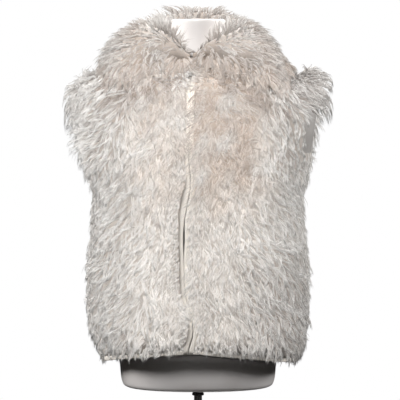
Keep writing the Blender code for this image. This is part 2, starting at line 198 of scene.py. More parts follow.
# Soft folds that run up from the hem and fade out
FOLDS = table(
    "side reach depth spread fade_height",
    (FRONT, -0.72, -6, 0.12, 330),
    (FRONT, -0.42, 5, 0.14, 300),
    (FRONT, 0.38, -5, 0.13, 340),
    (FRONT, 0.74, 6, 0.14, 300),
    (BACK, -0.55, -6, 0.15, 320),
    (BACK, 0.00, 5, 0.16, 300),
    (BACK, 0.58, -6, 0.15, 340),
)

# Pile: how far the fur stands off the cloth
PILE_SIDES = 27.0
PILE_MIDDLE_FRONT = 20.0
PILE_AT_OPENING = 6.0
PILE_AT_HEM = 18.0
PILE_UNDER_COLLAR = 9.0
PILE_TAPER = 48.0
COVERED_HEIGHT = 580.0
COVERED_HALF_WIDTH = 210.0
COVER_BLEND = 20.0
BAND_WIDTH = 9.0
BAND_TURNED = 4.5
BAND_TURNED_FROM = 345.0
BAND_TURNED_TO = 425.0
BAND_TURN = 22.0
BAND_WALL = 2.4

# Collar sections from the neck seam over the roll to the outer edge
COLLAR = table(
    "along right_x right_y right_z left_x left_y left_z"
    " stand_rise stand_lean fall_rise right_lean left_lean pile",
    (0.00, -17, -114, 659, -8, -112, 662, 30, 2, 26, 2, 2, 12),
    (0.10, -52, -115, 648, 36, -115, 655, 52, 6, 42, 6, 6, 20),
    (0.22, -104, -111, 630, 86, -114, 631, 74, 14, 54, 14, 14, 24),
    (0.33, -150, -100, 618, 132, -110, 612, 92, 18, 54, 16, 24, 26),
    (0.43, -180, -80, 612, 164, -100, 598, 108, 22, 50, 8, 36, 26),
    (0.52, -184, -32, 637, 172, -48, 639, 119, 25, 35, 2, 48, 24),
    (0.62, -182, 26, 642, 168, 22, 650, 136, 24, 30, 24, 58, 24),
    (0.74, -156, 76, 628, 154, 75, 628, 154, 22, 56, 46, 50, 28),
    (0.88, -88, 114, 611, 88, 114, 611, 166, 20, 88, 38, 38, 30),
    (1.00, 0, 123, 606, 0, 123, 606, 168, 20, 98, 36, 36, 30),
)
COLLAR_PILE_AT_SEAM = 8.0
COLLAR_PILE_AT_EDGE = 17.0
COLLAR_SEAT = 1.2
COLLAR_ON_FRONT = 0.45
LEAF_SETTLE = np.array((0.0, 12.0, -4.0))
ROLL_DIP = 8.0

# Rows of the vest's surface, as the part counts them
BODY_ROWS = 13
UNDERARM_ROW = 11
SHOULDER_ROWS = 11
LOWEST_ROW = BODY_ROWS * (BAND_WIDTH + SEAM_GAP) / (CHEST - HEM_SIDE)
TOP_ROW = BODY_ROWS + SHOULDER_ROWS

# Grid of the visible cloth
FINE_BODY_ROWS = 58
FINE_SHOULDER_ROWS = 32
FRONT_COLUMNS = 44
BACK_COLUMNS = 79
HEM_POINTS = 90
NECK_COLUMNS_RIGHT = 0.24
NECK_COLUMNS_LEFT = 0.34
NECK_COLUMNS_BACK = 0.29
COLLAR_STATIONS = 60
COLLAR_STEPS = 34
GROUND_LEAST = 1.6
GROUND_MOST = 18.5

# Fur: strands in a lock and points along one, the fine down against the long fur, how far out a root may lie,
# the space that the fur fills, the seeds of its locks and of the lumps in the ground, and the ground's comb
STRANDS = 5
LONG_STEPS = 4
DOWN_STEPS = 3
DOWN_THINNER = 0.6
DOWN_WIDER = 1.6
DOWN_SHORTER = 0.85
DOWN_CLUMP = 0.45
ROOT_MOST = 17.5
FUR_LIMITS = ((0, -1, 256), (0, 1, 256), (1, -1, 150), (1, 1, 154), (2, 1, 762))
FUR_LIMIT_SOFTNESS = 18
FRONT_SEED, BACK_SEED, COLLAR_SEED = 100, 110, 120
FRONT_LUMPS, BACK_LUMPS, COLLAR_LUMPS = 71, 75, 81
UNDERCOAT_LEAN = 32

# Studio, in metres, degrees and millimetres of lens
FLOOR_RADIUS = 0.70
LIGHT_TARGET = (0, 0, 0.5)
CAMERA_TARGET = (0.004, 0, 0.523)
CAMERA_DISTANCE = 4.5
CAMERA_ELEVATION = 4
CAMERA_SENSOR = 36.0
CAMERA_LENS = 202.5


# Arithmetic on arrays


def smooth(share):
    """0 to 1 with soft ends."""
    share = np.clip(share, 0.0, 1.0)
    return share * share * (3 - 2 * share)


def above(value, start, span):
    """0 up to the start, then rising softly to 1 over this span."""
    return smooth((value - start) / span)


def below(value, end, span):
    """0 from the end on, and 1 where the value is this span short of it."""
    return smooth((end - value) / span)


def bell(value, middle, width):
    """1 at the middle, fading out softly on both sides."""
    return np.exp(-(((value - middle) / width) ** 2))


def blend(start, end, share):
    """From the start at 0 to the end at 1."""
    return start + (end - start) * share


def unit(vectors):
    """The vectors, each with a length of 1."""
    return vectors / np.maximum(np.linalg.norm(vectors, axis=-1, keepdims=True), 1e-9)


def dot(a, b):
    """Dot products of two arrays of vectors."""
    return np.sum(a * b, axis=-1)


def read(rows, column, key):
    """A table's column at these keys, on a smooth curve through its rows."""
    keys = np.array([row[0] for row in rows], float)
    values = np.array([getattr(row, column) for row in rows], float)
    steps = np.diff(values) / np.diff(keys)
    slope = np.concatenate((steps[:1], (steps[1:] + steps[:-1]) / 2, steps[-1:]))
    key = np.clip(key, keys[0], keys[-1])
    i = np.clip(np.searchsorted(keys, key, side="right") - 1, 0, len(keys) - 2)
    span = keys[i + 1] - keys[i]
    t = (key - keys[i]) / span
    return (
        (2 * t**3 - 3 * t**2 + 1) * values[i]
        + (t**3 - 2 * t**2 + t) * span * slope[i]
        + (3 * t**2 - 2 * t**3) * values[i + 1]
        + (t**3 - t**2) * span * slope[i + 1]
    )


def drift(x, z, wave, seed):
    """A slow, uneven field from -1 to 1 over the cloth, whose waves are about this long."""
    rng = np.random.default_rng(seed)
    total = np.zeros(np.broadcast(x, z).shape)
    for _ in range(7):
        turn, phase = rng.uniform(0, 2 * math.pi, 2)
        length = wave * rng.uniform(0.6, 1.7)
        total += np.sin(2 * math.pi * (x * math.cos(turn) + z * math.sin(turn)) / length + phase)
    return np.clip(total / 3.2, -1, 1)


# The vest's inner surface. side is FRONT or BACK, reach runs from -1 to 1 between the side seams, and climb
# from 0 at the hem through 1 at the chest to 2 at the shoulder seam.


def hem_height(side, reach):
    """Height of the hem. The left front's hem falls away from the middle sooner than the right one's."""
    if side == FRONT:
        curve = np.where(np.asarray(reach) > 0, HEM_CURVE_LEFT, HEM_CURVE_RIGHT)
        return blend(HEM_FRONT, HEM_SIDE, np.abs(reach) ** curve)
    return blend(HEM_BACK, HEM_SIDE, reach**2)


def ridge_height(x):
    """Height of the shoulder's ridge, which drops at the tips."""
    drop = np.where(x < 0, TIP_DROP_RIGHT, TIP_DROP_LEFT)
    drop = drop * above(np.abs(x), TIP_DROP_FROM, SHOULDER_HALF_WIDTH - TIP_DROP_FROM)
    return NECK_POINT_HEIGHT - SHOULDER_SLOPE * np.maximum(0.0, np.abs(x) - NECK_POINT_X) - drop


def shoulder_half_width(turn):
    """Half the vest's width at this turn from the chest over to the ridge."""
    return blend(VEST_SECTIONS[-1].half_width, SHOULDER_HALF_WIDTH, np.sin(turn) ** 0.7)


def fold_at(side, reach, height):
    """How far the soft folds push the cloth out."""
    push = np.zeros(np.shape(reach))
    for fold in FOLDS:
        if fold.side == side:
            rise = below(height, fold.fade_height, fold.fade_height - HEM_SIDE)
            push = push + fold.depth * rise * bell(reach, fold.reach, fold.spread)
    return push


def vest_point(side, reach, climb):
    """Points of the vest's inner surface."""
    reach, climb = np.broadcast_arrays(np.asarray(reach, float), np.asarray(climb, float))
    depth = "front" if side == FRONT else "back"
    turn = np.pi / 2 * np.abs(reach) ** REACH_SPREAD
    across = np.sign(reach) * np.sin(turn) ** (2 / VEST_SQUARENESS)
    outward = np.maximum(np.cos(turn), 0) ** (2 / VEST_SQUARENESS)
    height = blend(hem_height(side, reach), CHEST, np.minimum(climb, 1))
    push = fold_at(side, reach, height)
    x = (read(VEST_SECTIONS, "half_width", height) + push) * across
    y = side * outward * (read(VEST_SECTIONS, depth, height) + push)
    body = np.stack((x, y, height), axis=-1)
    over = np.pi / 2 * np.clip(climb - 1, 0, 1)
    rise = np.sin(over) ** (2 / SHOULDER_SQUARENESS)
    inset = np.maximum(np.cos(over), 0) ** (2 / SHOULDER_SQUARENESS)
    x = shoulder_half_width(over) * across
    y = side * getattr(VEST_SECTIONS[-1], depth) * outward * inset
    top = np.stack((x, y, blend(CHEST, ridge_height(x), rise)), axis=-1)
    return np.where((climb <= 1)[..., None], body, top)


def vest_normal(side, reach, climb):
    """Unit vectors out of the vest. On the side and shoulder seams they have no part along Y."""
    reach, climb = np.broadcast_arrays(np.asarray(reach, float), np.asarray(climb, float))
    step = 0.004
    across = vest_point(side, np.minimum(1, reach + step), climb)
    across = across - vest_point(side, np.maximum(-1, reach - step), climb)
    upward = vest_point(side, reach, np.minimum(2, climb + step))
    upward = upward - vest_point(side, reach, np.maximum(0, climb - step))
    normal = np.cross(across, upward) * -side
    normal[..., 1] = np.where((np.abs(reach) > 0.999) | (climb > 1.999), 0, normal[..., 1])
    tip = np.stack((np.sign(reach) * 0.75, 0 * reach, 0 * reach + 0.66), axis=-1)
    return unit(np.where(((np.abs(reach) > 0.995) & (climb > 1.99))[..., None], tip, normal))


def reach_of(x, half_width):
    """The reach that lies at this x on a section this wide."""
    turn = np.arcsin(np.minimum(1.0, np.abs(x) / half_width) ** (VEST_SQUARENESS / 2))
    return np.sign(x) * (turn / (np.pi / 2)) ** (1 / REACH_SPREAD)


def top_climb(side, reach):
    """Climb of the neckline, and past the neck point of the shoulder seam."""
    lowest = NECKLINE_FRONT_TURN if side == FRONT else NECKLINE_BACK_TURN
    share = np.minimum(1.0, np.abs(reach) / NECK_POINT_REACH) ** NECKLINE_ROUNDNESS
    return 1 + blend(lowest, 90, share) / 90


def row_climb(side, reach, row):
    """Climb of a row of the panel at this reach."""
    upper = blend(1, top_climb(side, reach), (row - BODY_ROWS) / SHOULDER_ROWS)
    return np.where(row <= BODY_ROWS, row / BODY_ROWS, upper)


def side_reach(side, row):
    """Reach of a panel's outer edge: the side seam, and above it the armhole."""
    climb = (row - UNDERARM_ROW) / (TOP_ROW - UNDERARM_ROW)
    reach = read(ARMHOLE, "front_reach" if side == FRONT else "back_reach", climb)
    return np.where(row <= UNDERARM_ROW, 1.0, np.minimum(1.0, reach))


def opening_reach(hand, row, inset):
    """Reach of one front's edge in these rows, moved into that front by this share of its band's width."""
    climb = row_climb(FRONT, np.zeros(np.shape(row)), row)
    height = vest_point(FRONT, 0 * climb, climb)[..., 2]
    inset = inset * band_width(hand, height)
    edge = read(FRONT_OPENING, "edge_x", height) + hand * (read(FRONT_OPENING, "gap", height) / 2 + inset)
    over = np.pi / 2 * np.clip(climb - 1, 0, 1)
    body = read(VEST_SECTIONS, "half_width", blend(HEM_FRONT, CHEST, np.minimum(climb, 1)))
    return reach_of(edge, np.where(climb > 1, shoulder_half_width(over), body))


def band_width(hand, height):
    """Width of a front's smooth band. The right one turns out and widens over a short stretch."""
    turned = above(height, BAND_TURNED_FROM, BAND_TURN) * below(height, BAND_TURNED_TO, BAND_TURN)
    return BAND_WIDTH + BAND_TURNED * turned * (hand == RIGHT)


def leaf_height(x):
    """Height of the collar leaf's edge over the fronts at this distance from the middle."""
    rows = [row for row in COLLAR if row.along < COLLAR_ON_FRONT]
    line = sorted([(row.right_x, row.right_z) for row in rows] + [(row.left_x, row.left_z) for row in rows])
    return np.interp(x, *zip(*line))


def pile_depth(side, reach, point, cover=COVERED_HEIGHT):
    """How far the fur stands off the cloth. Above the cover's height the collar lies on it."""
    sideways = above(np.abs(reach), 0.12, 0.5)
    depth = blend(PILE_MIDDLE_FRONT if side == FRONT else PILE_SIDES, PILE_SIDES, sideways)
    x, z = point[..., 0], point[..., 2]
    covered = above(z, cover, COVER_BLEND) * below(np.abs(x), COVERED_HALF_WIDTH, COVER_BLEND)
    depth = blend(depth, PILE_UNDER_COLLAR, covered)
    if side == FRONT:
        from_edge = np.abs(x - read(FRONT_OPENING, "edge_x", z)) - BAND_WIDTH
        depth = blend(np.minimum(depth, PILE_AT_OPENING), depth, smooth(from_edge / PILE_TAPER))
    above_hem = z - hem_height(side, reach) - BAND_WIDTH
    return blend(np.minimum(depth, PILE_AT_HEM), depth, smooth(above_hem / PILE_TAPER))


def panel_rows():
    """The fine rows of a panel, from over the hem band to the top."""
    body = np.linspace(LOWEST_ROW, BODY_ROWS, FINE_BODY_ROWS)
    return np.concatenate((body, np.linspace(BODY_ROWS, TOP_ROW, FINE_SHOULDER_ROWS)[1:]))


def panel_grid(side, hand=0):
    """Points, normals, pile and reach over one panel: a front by its hand, or the whole back."""
    rows = panel_rows()[:, None]
    neck = NECK_POINT_REACH
    end = side_reach(side, rows)
    if side == FRONT:
        across = np.linspace(0, 1, FRONT_COLUMNS)[None]
        turn = NECK_COLUMNS_RIGHT if hand == RIGHT else NECK_COLUMNS_LEFT
        near = blend(opening_reach(hand, rows, 1.0), hand * neck, across / turn)
        far = blend(hand * neck, hand * end, (across - turn) / (1 - turn))
        reach = np.where(across < turn, near, far)
    else:
        across = np.linspace(-1, 1, BACK_COLUMNS)[None]
        turn = NECK_COLUMNS_BACK
        far = blend(neck, end, (np.abs(across) - turn) / (1 - turn))
        reach = np.where(np.abs(across) < turn, neck * across / turn, np.sign(across) * far)
    climb = row_climb(side, reach, rows)
    point = vest_point(side, reach, climb)
    cover = leaf_height(point[..., 0]) - 2 if side == FRONT else COVERED_HEIGHT
    grid = {
        "point": point + np.array((0, side * SEAM_GAP / 2, 0)),
        "normal": vest_normal(side, reach, climb),
        "pile": pile_depth(side, reach, point, cover),
        "reach": reach,
        "edge": np.abs(reach) / end,
    }
    grid["up"] = unit(np.gradient(grid["point"], axis=0))
    outer_side = hand if side == FRONT else np.where(point[..., :1] < -1e-6, -1, 1)
    grid["out"] = unit(np.cross(grid["up"], grid["normal"]) * -side * outer_side)
    return grid


def collar_seam(hand, along):
    """The collar's seam on one half: along the front's neckline, then along the back's."""
    edge = opening_reach(hand, np.array(float(TOP_ROW)), 1.5 / BAND_WIDTH)
    neck = hand * NECK_POINT_REACH
    seams = []
    for side, reach in (
        (FRONT, blend(edge, neck, np.minimum(along / COLLAR_ON_FRONT, 1))),
        (BACK, blend(neck, 0, np.maximum((along - COLLAR_ON_FRONT) / (1 - COLLAR_ON_FRONT), 0))),
    ):
        climb = top_climb(side, reach)
        point = vest_point(side, reach, climb)
        seat = pile_depth(side, reach, point) + COLLAR_SEAT
        seams.append(point + vest_normal(side, reach, climb) * seat[:, None])
    return np.where((along < COLLAR_ON_FRONT)[:, None], seams[0], seams[1])


def collar_grid():
    """Points, normals and pile over the collar: stations from the right front round to the left front."""
    along = np.linspace(0, 1, COLLAR_STATIONS)
    share = np.linspace(0, 1, COLLAR_STEPS)
    t = share[None, :, None]
    halves = []
    for hand, word in HANDS:
        seam = collar_seam(hand, along)
        edge = np.stack([read(COLLAR, f"{word}_{axis}", along) for axis in "xyz"], axis=-1)
        level = np.array((1.0, 1.0, 0.0))
        row = {name: read(COLLAR, name, along)[:, None] for name in COLLAR[0]._fields[7:12]}
        stand = seam - unit(seam * level) * row["stand_lean"] + UP * row["stand_rise"]
        fall = edge + unit((seam - edge) * level) * row[f"{word}_lean"] + UP * row["fall_rise"]
        seam, stand, fall, edge = (points[:, None] for points in (seam, stand, fall, edge))
        halves.append(
            seam * (1 - t) ** 3 + stand * 3 * t * (1 - t) ** 2 + fall * 3 * t * t * (1 - t) + edge * t**3
        )
    point = np.concatenate((halves[0], halves[1][-2::-1]))
    along = np.concatenate((along, along[-2::-1]))
    # The ends of the leaves settle back onto the fronts, and the roll dips between them
    settle = smooth(1 - along / 0.3)[:, None] * above(share, 0.35, 0.65)[None]
    point = point + LEAF_SETTLE * settle[..., None]
    dip = smooth(1 - along / 0.14)[:, None] * bell(share, 0.45, 0.3)[None]
    point = point - UP * ROLL_DIP * dip[..., None]
    pile = read(COLLAR, "pile", along)[:, None]
    depth = blend(np.minimum(pile, COLLAR_PILE_AT_SEAM), pile, smooth(share / 0.42))
    depth = blend(depth, np.minimum(pile, COLLAR_PILE_AT_EDGE), above(share, 0.5, 0.5))
    length = unit(np.gradient(point, axis=0))
    down = unit(np.gradient(point, axis=1))
    normal = unit(np.cross(length, down))
    # Where the pile is deepest the cloth itself stands further out, so that it stays thin
    point = point + normal * np.maximum(0, 0.9 * depth - 18)[..., None]
    return {
        "point": point,
        "normal": normal,
        "pile": depth,
        "up": -down,
        "out": length,
        "share": share[None] + 0 * depth,
        "along": along[:, None] + 0 * depth,
        "hand": np.repeat((RIGHT, LEFT), (COLLAR_STATIONS, COLLAR_STATIONS - 1))[:, None] + 0 * depth,
    }


# Materials. A pattern's scale is a metre's millimetres over the width of one lump or thread.


PER_METRE = 1000
MIX_FACTOR, MIX_UNDER, MIX_OVER, MIX_RESULT = 0, 6, 7, 2


def linear(code):
    """An sRGB colour such as "#e8e1d7" as linear red, green and blue."""
    shares = [int(code[i : i + 2], 16) / 255 for i in (1, 3, 5)]
    return tuple(s / 12.92 if s <= 0.04045 else ((s + 0.055) / 1.055) ** 2.4 for s in shares)


def colour(value):
    """A hex code or three linear numbers as the four numbers of a colour socket. A socket is passed on."""
    if isinstance(value, bpy.types.NodeSocket):
        return value
    return (*(linear(value) if isinstance(value, str) else value), 1)


def add(tree, kind, take, inputs, **settings):
    """Adds a node and gives its output of this name or number. An input is a value or a socket to link."""
    made = tree.nodes.new(kind)
    for name, value in settings.items():
        setattr(made, name, value)
    for name, value in inputs.items():
        if isinstance(value, bpy.types.NodeSocket):
            tree.links.new(value, made.inputs[name])
        else:
            made.inputs[name].default_value = value
    return made.outputs[take] if made.outputs else None


def material(name, **values):
    """A new principled material with these constant values, its node tree and its shader."""
    made = bpy.data.materials.new(name)
    made.use_nodes = True
    shader = made.node_tree.nodes["Principled BSDF"]
    for key, value in values.items():
        shader.inputs[key.replace("_", " ")].default_value = value
    return made, made.node_tree, shader


def feed(shader, **sockets):
    """Links these sockets to a shader's inputs."""
    for key, socket in sockets.items():
        shader.id_data.links.new(socket, shader.inputs[key.replace("_", " ")])


def painted(tree, base, *coats):
    """A base colour under coats of others. A coat is a colour, the value that lays it on, and the values at
    which it starts to show and covers the rest."""
    base = colour(base)
    for over, value, bare, full in coats:
        limits = {"Value": value, "From Min": bare, "From Max": full}
        cover = add(tree, "ShaderNodeMapRange", "Result", limits)
        layers = {MIX_FACTOR: cover, MIX_UNDER: base, MIX_OVER: colour(over)}
        base = add(tree, "ShaderNodeMix", MIX_RESULT, layers, data_type="RGBA")
    return base


def in_shade(tree, base):
    """Painted shade: a colour made darker where the fur's tone is low."""
    tone = add(tree, "ShaderNodeAttribute", "Fac", {}, attribute_name="tone")
    light = painted(tree, "#b5b2b0", ("#ffffff", tone, 0.0, 1.0))
    layers = {MIX_FACTOR: 1.0, MIX_UNDER: base, MIX_OVER: light}
    return add(tree, "ShaderNodeMix", MIX_RESULT, layers, data_type="RGBA", blend_type="MULTIPLY")


def fur_material(colours):
    """Wool-like pile, brushed out."""
    # Matt fibres with a soft sheen, ivory at the tips and beige where it is matted. Towards the roots, and
    # most where the pile is deep, they are painted greyish tan: painted shade for the shadows the fur doesn't
    # cast
    made, tree, shader = material("brushed ivory pile", Roughness=0.72, Sheen_Weight=0.25,
                                  Sheen_Roughness=0.45)
    along, warm, depth = (
        add(tree, "ShaderNodeAttribute", "Fac", {}, attribute_name=key) for key in ("along", "warm", "depth")
    )
    fibre_and_shade = painted(
        tree, colours.pile_root_shaded,
        (colours.pile_deep_root_shaded, depth, 0.0, 1.0),
        (colours.pile_tip, along, 0.0, 0.7),
        (colours.pile_warm, warm, 0.0, 1.6),
    )
    feed(shader, Base_Color=in_shade(tree, fibre_and_shade))
    return made


def undercoat_material(name, lean):
    """The felted ground that the pile grows from, combed down, and outward by this many degrees."""
    # Short matt fibres that let some light in. They are painted darker where the pile over them is deep, as
    # painted shade under the fur, and by the fur's tone. Single fibres are far too fine to show, so they are
    # drawn 2.2 mm wide.
    made, tree, shader = material(name, Roughness=0.95, Sheen_Weight=0.2, Subsurface_Weight=0.5,
                                  Subsurface_Radius=(1.0, 0.85, 0.7), Subsurface_Scale=0.012)
    where = add(tree, "ShaderNodeTexCoord", "Object", {})
    leaning = {"Vector": where, "Rotation": (0, math.radians(lean), 0)}
    turned = add(tree, "ShaderNodeMapping", "Vector", leaning)
    drawn = add(tree, "ShaderNodeMapping", "Vector", {"Vector": turned, "Scale": (1, 1, 0.14)})
    fibres = {"Vector": drawn, "Scale": PER_METRE / 2.2, "Detail": 4, "Roughness": 0.65}
    combed = add(tree, "ShaderNodeTexNoise", "Fac", fibres)
    patches = add(tree, "ShaderNodeTexNoise", "Fac", {"Vector": where, "Scale": PER_METRE / 16, "Detail": 3})
    depth, warm = (
        add(tree, "ShaderNodeAttribute", "Fac", {}, attribute_name=key) for key in ("depth", "warm")
    )
    # Painted shade: the coat laid on by depth darkens the ground under deep pile
    ground = painted(
        tree, "#dcd7d1",
        ("#d2cac3", patches, 0.35, 0.65),
        ("#857d75", depth, 0.1, 1.2),
        ("#b5aba2", combed, 0.50, 0.80),
        ("#cab9aa", warm, 0.2, 1.3),
    )
    bump = add(tree, "ShaderNodeBump", "Normal", {"Height": combed, "Distance": 1.4 * MM, "Strength": 1.0})
    feed(shader, Base_Color=in_shade(tree, ground), Normal=bump)
    return made


def woven_material(name, base, shade, thread_mm, roughness):
    """Smooth woven cloth."""
    # Fine crossing threads and a slow change of tone give a flat, dry face. Real threads are about 0.3 mm
    # wide, too fine to show, so they are drawn coarser.
    made, tree, shader = material(name, Roughness=roughness, Sheen_Weight=0.15)
    where = add(tree, "ShaderNodeTexCoord", "Object", {})
    scale = PER_METRE / thread_mm / (2 * math.pi)
    weave = {"Vector": where, "Scale": scale, "Distortion": 0.6, "Detail": 1.0}
    waves = [add(tree, "ShaderNodeTexWave", "Fac", weave, bands_direction=axis) for axis in "XZ"]
    threads = add(tree, "ShaderNodeMath", 0, {0: waves[0], 1: waves[1]}, operation="MULTIPLY")
    slow = add(tree, "ShaderNodeTexNoise", "Fac", {"Vector": where, "Scale": PER_METRE / 40, "Detail": 2})
    cloth = painted(tree, base, (shade, slow, 0.35, 0.7))
    bump = add(tree, "ShaderNodeBump", "Normal", {"Height": threads, "Distance": 0.35 * MM, "Strength": 0.6})
    feed(shader, Base_Color=painted(tree, shade, (cloth, threads, -0.4, 0.5)), Normal=bump)
    return made


def form_material(colours):
    """Paint sprayed on a moulded form."""
    # Satin white under a thin clear coat, with greyer scuffs, an uneven gloss and a faint orange peel
    made, tree, shader = material("satin white paint", Roughness=0.32, Coat_Weight=0.25, Coat_Roughness=0.2)
    where = add(tree, "ShaderNodeTexCoord", "Object", {})
    scuffs, uneven, peel = (
        add(tree, "ShaderNodeTexNoise", "Fac", {"Vector": where, "Scale": PER_METRE / wide, "Detail": detail})
        for wide, detail in ((70, 4), (9, 3), (1.6, 2))
    )
    gloss = add(tree, "ShaderNodeMapRange", "Result", {"Value": uneven, "To Min": 0.26, "To Max": 0.42})
    bump = add(tree, "ShaderNodeBump", "Normal", {"Height": peel, "Distance": 0.12 * MM, "Strength": 0.35})
    paint = painted(tree, colours.form, ("#d3cdca", scuffs, 0.45, 0.75))
    feed(shader, Base_Color=paint, Roughness=gloss, Normal=bump)
    return made


def plastic_material():
    """Black plastic, moulded."""
    # Near black with a dull shine. The mould's grain is too fine to show, so it is drawn 0.9 mm wide.
    made, tree, shader = material("black moulded plastic", Roughness=0.42)
    where = add(tree, "ShaderNodeTexCoord", "Object", {})
    grain = add(tree, "ShaderNodeTexNoise", "Fac", {"Vector": where, "Scale": PER_METRE / 0.9, "Detail": 2})
    bump = add(tree, "ShaderNodeBump", "Normal", {"Height": grain, "Distance": 0.1 * MM, "Strength": 0.5})
    feed(shader, Base_Color=painted(tree, "#0d0d0e", ("#1d1c1c", grain, 0.0, 1.0)), Normal=bump)
    return made


def steel_material():
    """Plated steel, brushed."""
    # Soft grey reflections drawn out by the brushing. Its lines are too fine to show, so they are drawn
    # 1.2 mm wide.
    made, tree, shader = material("satin plated steel", Metallic=1.0, Roughness=0.34)
    where = add(tree, "ShaderNodeTexCoord", "Object", {})
    drawn = add(tree, "ShaderNodeMapping", "Vector", {"Vector": where, "Scale": (1.0, 1.0, 0.04)})
    brushed = add(tree, "ShaderNodeTexNoise", "Fac", {"Vector": drawn, "Scale": PER_METRE / 1.2, "Detail": 3})
    gloss = add(tree, "ShaderNodeMapRange", "Result", {"Value": brushed, "To Min": 0.28, "To Max": 0.42})
    bump = add(tree, "ShaderNodeBump", "Normal", {"Height": brushed, "Distance": 0.05 * MM, "Strength": 0.3})
    plating = painted(tree, "#a9a9a8", ("#c4c4c2", brushed, 0.0, 1.0))
    feed(shader, Base_Color=plating, Roughness=gloss, Normal=bump)
    return made


def floor_material():
    """Paper on the studio's floor."""
    # Matt and almost white, with a slow change of tone
    made, tree, shader = material("pale studio floor", Roughness=0.8)
    where = add(tree, "ShaderNodeTexCoord", "Object", {})
    slow = add(tree, "ShaderNodeTexNoise", "Fac", {"Vector": where, "Scale": PER_METRE / 180, "Detail": 3})
    feed(shader, Base_Color=painted(tree, "#f1efed", ("#eae8e6", slow, 0.3, 0.7)))
    return made


# Meshes


def link(name, mesh):
    """A new object in the scene."""
    made = bpy.data.objects.new(name, mesh)
    bpy.context.scene.collection.objects.link(made)
    return made


def placed(piece, slot, *nodes):
    """The piece rides on the part's one body and stands for these nodes, which are hidden. The slot is not
    used.
    """
    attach(piece, "root")
    if nodes:
        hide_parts(*nodes)
    return piece


def array_piece(name, points, faces, finishes, face_finish=None, fields=None):
    """An object from arrays: points in millimetres above the datum, and faces with as many corners each."""
    mesh = bpy.data.meshes.new(name)
    mesh.vertices.add(len(points))
    mesh.vertices.foreach_set("co", ((points + UP * DATUM) * MM).astype(np.float32).ravel())
    mesh.loops.add(faces.size)
    mesh.loops.foreach_set("vertex_index", faces.astype(np.int32).ravel())
    mesh.polygons.add(len(faces))
    mesh.polygons.foreach_set("loop_start", np.arange(0, faces.size, faces.shape[1], dtype=np.int32))
    for finish in finishes:
        mesh.materials.append(finish)
    if face_finish is not None:
        mesh.polygons.foreach_set("material_index", face_finish.astype(np.int32))
    mesh.update(calc_edges=True)
    mesh.shade_smooth()
    for key, values in (fields or {}).items():
        mesh.attributes.new(key, "FLOAT", "POINT").data.foreach_set("value", values.astype(np.float32))
    return link(name, mesh)


def shape_piece(name, shape, finish, sharp_degrees=None):
    """An object from a bmesh, shaded smooth up to this angle if one is given."""
    mesh = bpy.data.meshes.new(name)
    shape.to_mesh(mesh)
    shape.free()
    mesh.materials.append(finish)
    if sharp_degrees:
        mesh.shade_smooth()
        mesh.set_sharp_from_angle(angle=math.radians(sharp_degrees))
    return link(name, mesh)


def facing_out(points, faces, outward):
    """The faces, all turned round if the first of them face against these outward vectors."""
    corner = points[faces[: len(outward)]]
    facing = np.cross(corner[:, 1] - corner[:, 0], corner[:, 3] - corner[:, 0])
    return faces[:, ::-1] if np.sum(dot(facing, outward)) < 0 else faces


def closed_wall(inner, outer):
    """Points and quads of the closed wall between two grids, with the number of quads on its outer grid."""
    rows, columns = inner.shape[:2]
    out = np.arange(rows * columns).reshape(rows, columns)
    within = out + rows * columns

    def sheet(k):
        return np.stack((k[:-1, :-1], k[:-1, 1:], k[1:, 1:], k[1:, :-1]), axis=-1).reshape(-1, 4)

    def ring(k):
        return np.concatenate((k[0, :-1], k[:-1, -1], k[-1, :0:-1], k[:0:-1, 0]))

    rim_out, rim_in = ring(out), ring(within)
    rim = np.stack((rim_out, rim_in, np.roll(rim_in, -1), np.roll(rim_out, -1)), axis=-1)
    faces = np.concatenate((sheet(out), sheet(within)[:, ::-1], rim))
    points = np.concatenate((outer.reshape(-1, 3), inner.reshape(-1, 3)))
    outward = (outer - inner)[:-1, :-1].reshape(-1, 3)
    return points, facing_out(points, faces, outward), len(outward)


def scatter(grid, count, rng):
    """Roots spread over a grid by area: every field of the grid, read at each root."""
    point = grid["point"]
    one, two = point[1:, :-1] - point[:-1, :-1], point[:-1, 1:] - point[:-1, :-1]
    area = np.linalg.norm(np.cross(one, two), axis=-1) * grid["density"][:-1, :-1]
    total = np.cumsum(area.ravel())
    cell = np.searchsorted(total, (np.arange(count) + rng.random(count)) / count * total[-1])
    i, j = np.divmod(np.minimum(cell, len(total) - 1), point.shape[1] - 1)
    p, q = rng.random((2, count))
    roots = {}
    for key, field in grid.items():
        a, b = (p[:, None], q[:, None]) if field.ndim == 3 else (p, q)
        low = blend(field[i, j], field[i, j + 1], b)
        roots[key] = blend(low, blend(field[i + 1, j], field[i + 1, j + 1], b), a)
    return roots


def held_in(line):
    """Bends strands back softly where they would reach past the space that the fur fills."""
    held = line.copy()
    for axis, sign, limit in FUR_LIMITS:
        over = np.maximum(0, sign * line[..., axis] - limit)
        held[..., axis] -= sign * over * over / (over + FUR_LIMIT_SOFTNESS)
    return held


